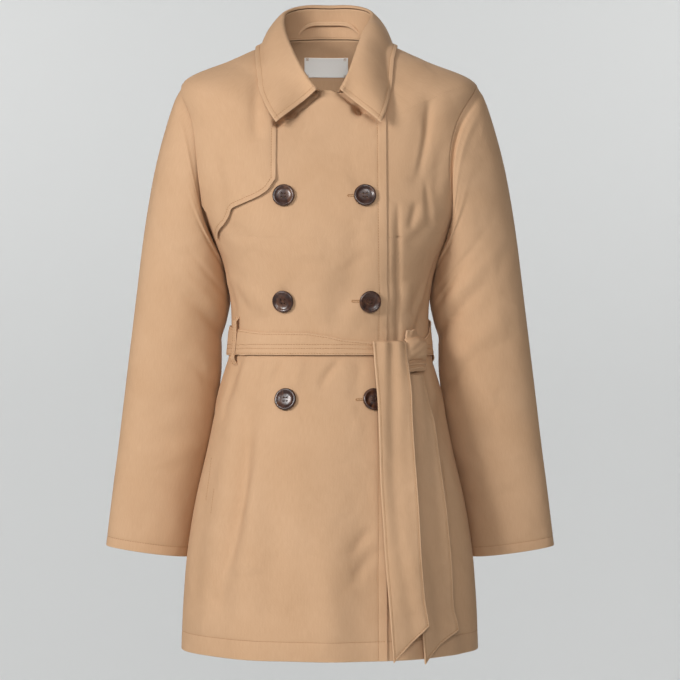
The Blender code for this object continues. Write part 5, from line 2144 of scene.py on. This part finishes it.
@dataclass
class BackNeck:
    """Inside the back neck: the blank ribbon label and the hanging loop."""

    form: TorsoForm
    finishes: Finishes
    collar: Collar
    label_x: Pair = (-0.035, 0.024)
    label_z: Pair = (-0.011, 0.014)
    label_gap: float = 0.6 * MM
    label_lift: float = 0.5 * MM
    label_wave: float = 0.25 * MM
    label_wave_length: float = 0.011
    label_station: float = 15.0
    # Stitches at the label's corners: first row and its direction, first column and their length in columns
    corner_rows = ((3, 1), (-4, -1))
    corner_columns = ((4, 3), (-5, -3))
    corner_stitches: int = 3
    corner_lift: float = 0.1 * MM
    corner_radius: float = 0.3 * MM
    spacing: float = 1.5 * MM
    hanger_x: float = -1.5 * MM
    hanger_half: float = 0.040
    hanger_length: float = 0.086
    hanger_rise: float = 0.015
    hanger_width: float = 0.005
    hanger_spacing: float = 1.0 * MM
    hanger_z: float = 0.040
    hanger_end_gap: float = 2.4 * MM
    hanger_slack: float = 4.0 * MM

    def label(self) -> None:
        """Builds the blank label, caught by stitches at each corner."""
        rim = edge_distances(roll=RIBBON_ROLL)
        wide, high = (ends[1] - ends[0] for ends in (self.label_x, self.label_z))
        x = between(self.label_x, spread(wide, self.spacing, rim, rim))
        z = between(self.label_z, spread(high, self.spacing, rim, rim)[:, None])
        angle, station = self.form.back_place_at(x, z)
        off_middle = x - sum(self.label_x) / 2
        lift = self.label_lift * np.cos(math.pi * off_middle / wide) ** 2
        wave = self.label_wave * np.sin(off_middle / self.label_wave_length)
        grid = self.form.surface(angle, station, -(WALL + self.label_gap + lift + wave) + 0 * z)
        cloth = ClothPiece("neck_label", grid[:, ::-1], LABEL_WALL, roll=RIBBON_ROLL)
        piece = place_piece(cloth.build(self.finishes.ribbon), "woven_label", "neck_label")
        starts, ends = [], []
        for row, up in self.corner_rows:
            for column, across in self.corner_columns:
                for shift in range(self.corner_stitches):
                    starts.append(grid[row + up * shift, column])
                    ends.append(grid[row + up * shift, column + across])
        inward = -self.form.normal(np.full(len(starts), math.pi), np.full(len(starts), self.label_station))
        offset = inward * (LABEL_WALL + self.corner_lift)
        starts, ends = (np.array(points) + offset for points in (starts, ends))
        sewing = Sewing()
        corners = sewing.capsules(starts, ends, inward, self.corner_radius)
        stitches = sewing.mesh_object("neck_label_stitches", [corners], self.finishes.thread)
        place_piece(stitches, "woven_label")
        declare(piece, cloth)

    def hanger(self) -> None:
        """Builds the hanging loop, which arches up over the stand from the neck seam."""
        rim = edge_distances(roll=RIBBON_ROLL)
        share = 2 * spread(self.hanger_length, self.spacing, rim, rim) - 1
        seam, roll, _ = self.collar.lines(np.linspace(0, 1, 201))
        stand = np.concatenate([seam, (seam + roll) / 2, roll])
        stand = stand[stand[:, 1] > 0]
        x = self.hanger_x + self.hanger_half * share
        middle_z = self.hanger_z + self.hanger_rise * (1 - share**4)
        across = spread(self.hanger_width, self.hanger_spacing, rim, rim)[:, None] - 0.5
        z = middle_z + self.hanger_width * across
        distance = (stand[:, None, 0] - x) ** 2 + (stand[:, None, 2] - middle_z) ** 2
        y = stand[distance.argmin(axis=0), 1]
        fit = np.polyval(np.polyfit(x, y, 4), x)
        depth = fit - self.hanger_end_gap - self.hanger_slack * (1 - share**2)
        grid = np.stack([x + 0 * z, depth + 0 * z, z], axis=-1)
        # Cut twice as wide as it shows, and folded in half
        cloth = ClothPiece("hanger_loop", grid, HANGER_WALL, roll=RIBBON_ROLL,
                           least_cut=2 * self.hanger_width)
        dress_cloth(cloth, self.finishes)

    def build(self) -> None:
        """Builds both pieces."""
        self.label()
        self.hanger()


@dataclass
class Studio:
    """A level camera in front of the coat, soft lights and a sweep of pale grey paper."""

    distance: float = 3.0
    centre_x: float = 0.013
    centre_z: float = -0.364
    frame_width: float = 0.884
    sensor_mm: float = 36.0
    floor_z: float = -1.7
    wall_y: float = 3.9
    bend: float = 1.2
    half_width: float = 5.0
    wall_top: float = 3.5
    paper: PaperBackdrop = PaperBackdrop()
    # Softboxes: place, aim, side length and watts
    softboxes = {
        "key": ((-1.9, -2.1, 0.5), (0.0, 0.0, -0.35), 0.8, 59.0),
        "front": ((0.1, -3.0, 0.4), (0.0, 0.0, -0.1), 0.8, 28.5),
        "fill": ((1.3, -2.6, 0.9), (0.1, 0.0, -0.15), 1.4, 6.5),
        "top": ((-0.2, -0.3, 2.0), (0.0, 0.0, -0.35), 1.4, 3.0),
        "rear": ((0.5, 2.6, 1.3), (0.0, 0.0, -0.35), 1.2, 14.0),
        "wall_left": ((-1.9, 1.9, 1.1), (-0.6, 3.9, -0.5), 1.2, 28.0),
        "wall_right": ((1.9, 1.9, 1.1), (0.6, 3.9, -0.5), 1.2, 28.0),
    }
    # A lamp with a snoot lights the inside of the back neck
    snoot_place: tuple[float, float, float] = (0.0, -3.0, 0.35)
    snoot_aim: tuple[float, float, float] = (-0.005, 0.06, -0.006)
    snoot_cone: float = math.radians(1.7)
    snoot_watts: float = 260.0
    surround_strength: float = 0.18

    def camera(self) -> None:
        """Adds the camera at the photograph's angle."""
        data = bpy.data.cameras.new("camera")
        data.sensor_width = self.sensor_mm
        data.lens = self.sensor_mm * self.distance / self.frame_width
        camera = new_object("camera", data)
        camera.location = (self.centre_x, -self.distance, self.centre_z)
        camera.rotation_euler = (math.pi / 2, 0, 0)
        bpy.context.scene.camera = camera

    def sweep(self) -> None:
        """Adds the paper: a floor that bends up into a wall."""
        turn = np.linspace(0, math.pi / 2, 13)
        curve = [(self.wall_y - self.bend + self.bend * math.sin(t),
                  self.floor_z + self.bend * (1 - math.cos(t))) for t in turn]
        line = [(-self.half_width, self.floor_z), *curve, (self.wall_y, self.wall_top)]
        grid = np.array([(x, y, z) for y, z in line for x in (-self.half_width, self.half_width)])
        faces = np.array(quads(len(line), 2, False))
        new_object("paper_sweep", new_mesh("paper_sweep", grid, faces, self.paper.material()))

    def lamp(self, kind: str, name: str, place: tuple[float, float, float], aim: tuple[float, float, float],
             **settings) -> None:
        """Adds one lamp.

        Args:
            kind: Blender's name for the type of lamp.
            name: Its name.
            place: Where it stands.
            aim: What it points at.
            **settings: The lamp's own properties.
        """
        data = bpy.data.lights.new(name, kind)
        for setting, value in settings.items():
            setattr(data, setting, value)
        lamp = new_object(name, data)
        lamp.location = place
        lamp.rotation_euler = (Vector(aim) - Vector(place)).to_track_quat("-Z", "Y").to_euler()

    def lights(self) -> None:
        """Adds the softboxes, the narrow soft-edged beam on the back neck and an even surround."""
        for name, (place, aim, size, watts) in self.softboxes.items():
            self.lamp("AREA", name, place, aim, size=size, energy=watts)
        self.lamp("SPOT", "neck", self.snoot_place, self.snoot_aim, spot_size=self.snoot_cone,
                  spot_blend=1.0, energy=self.snoot_watts, shadow_soft_size=0.05)
        world = bpy.data.worlds.new("surround")
        world.use_nodes = True
        surround = world.node_tree.nodes["Background"].inputs
        surround["Color"].default_value = linear("#f4f6fa")
        surround["Strength"].default_value = self.surround_strength
        bpy.context.scene.world = world
        bpy.context.scene.view_settings.view_transform = "Standard"

    def build(self) -> None:
        """Sets up the studio."""
        self.camera()
        self.sweep()
        self.lights()
        LOG.info("studio: paper sweep, camera and lights")


def main() -> None:
    """Builds the studio and the coat, piece by piece."""
    logging.basicConfig(level=logging.INFO, format="%(name)s %(message)s")
    Studio().build()
    form = TorsoForm()
    finishes = Finishes()
    panels = BodyPanels(form, finishes).build()
    Sleeves(form, finishes).build()
    collar = Collar(form, finishes)
    collar.build()
    StormFlap(form, finishes).build()
    Belt(form, finishes).build()
    Buttons(form, finishes).build(panels["right_front"])
    BackNeck(form, finishes, collar).build()


if __name__ == "__main__":
    main()
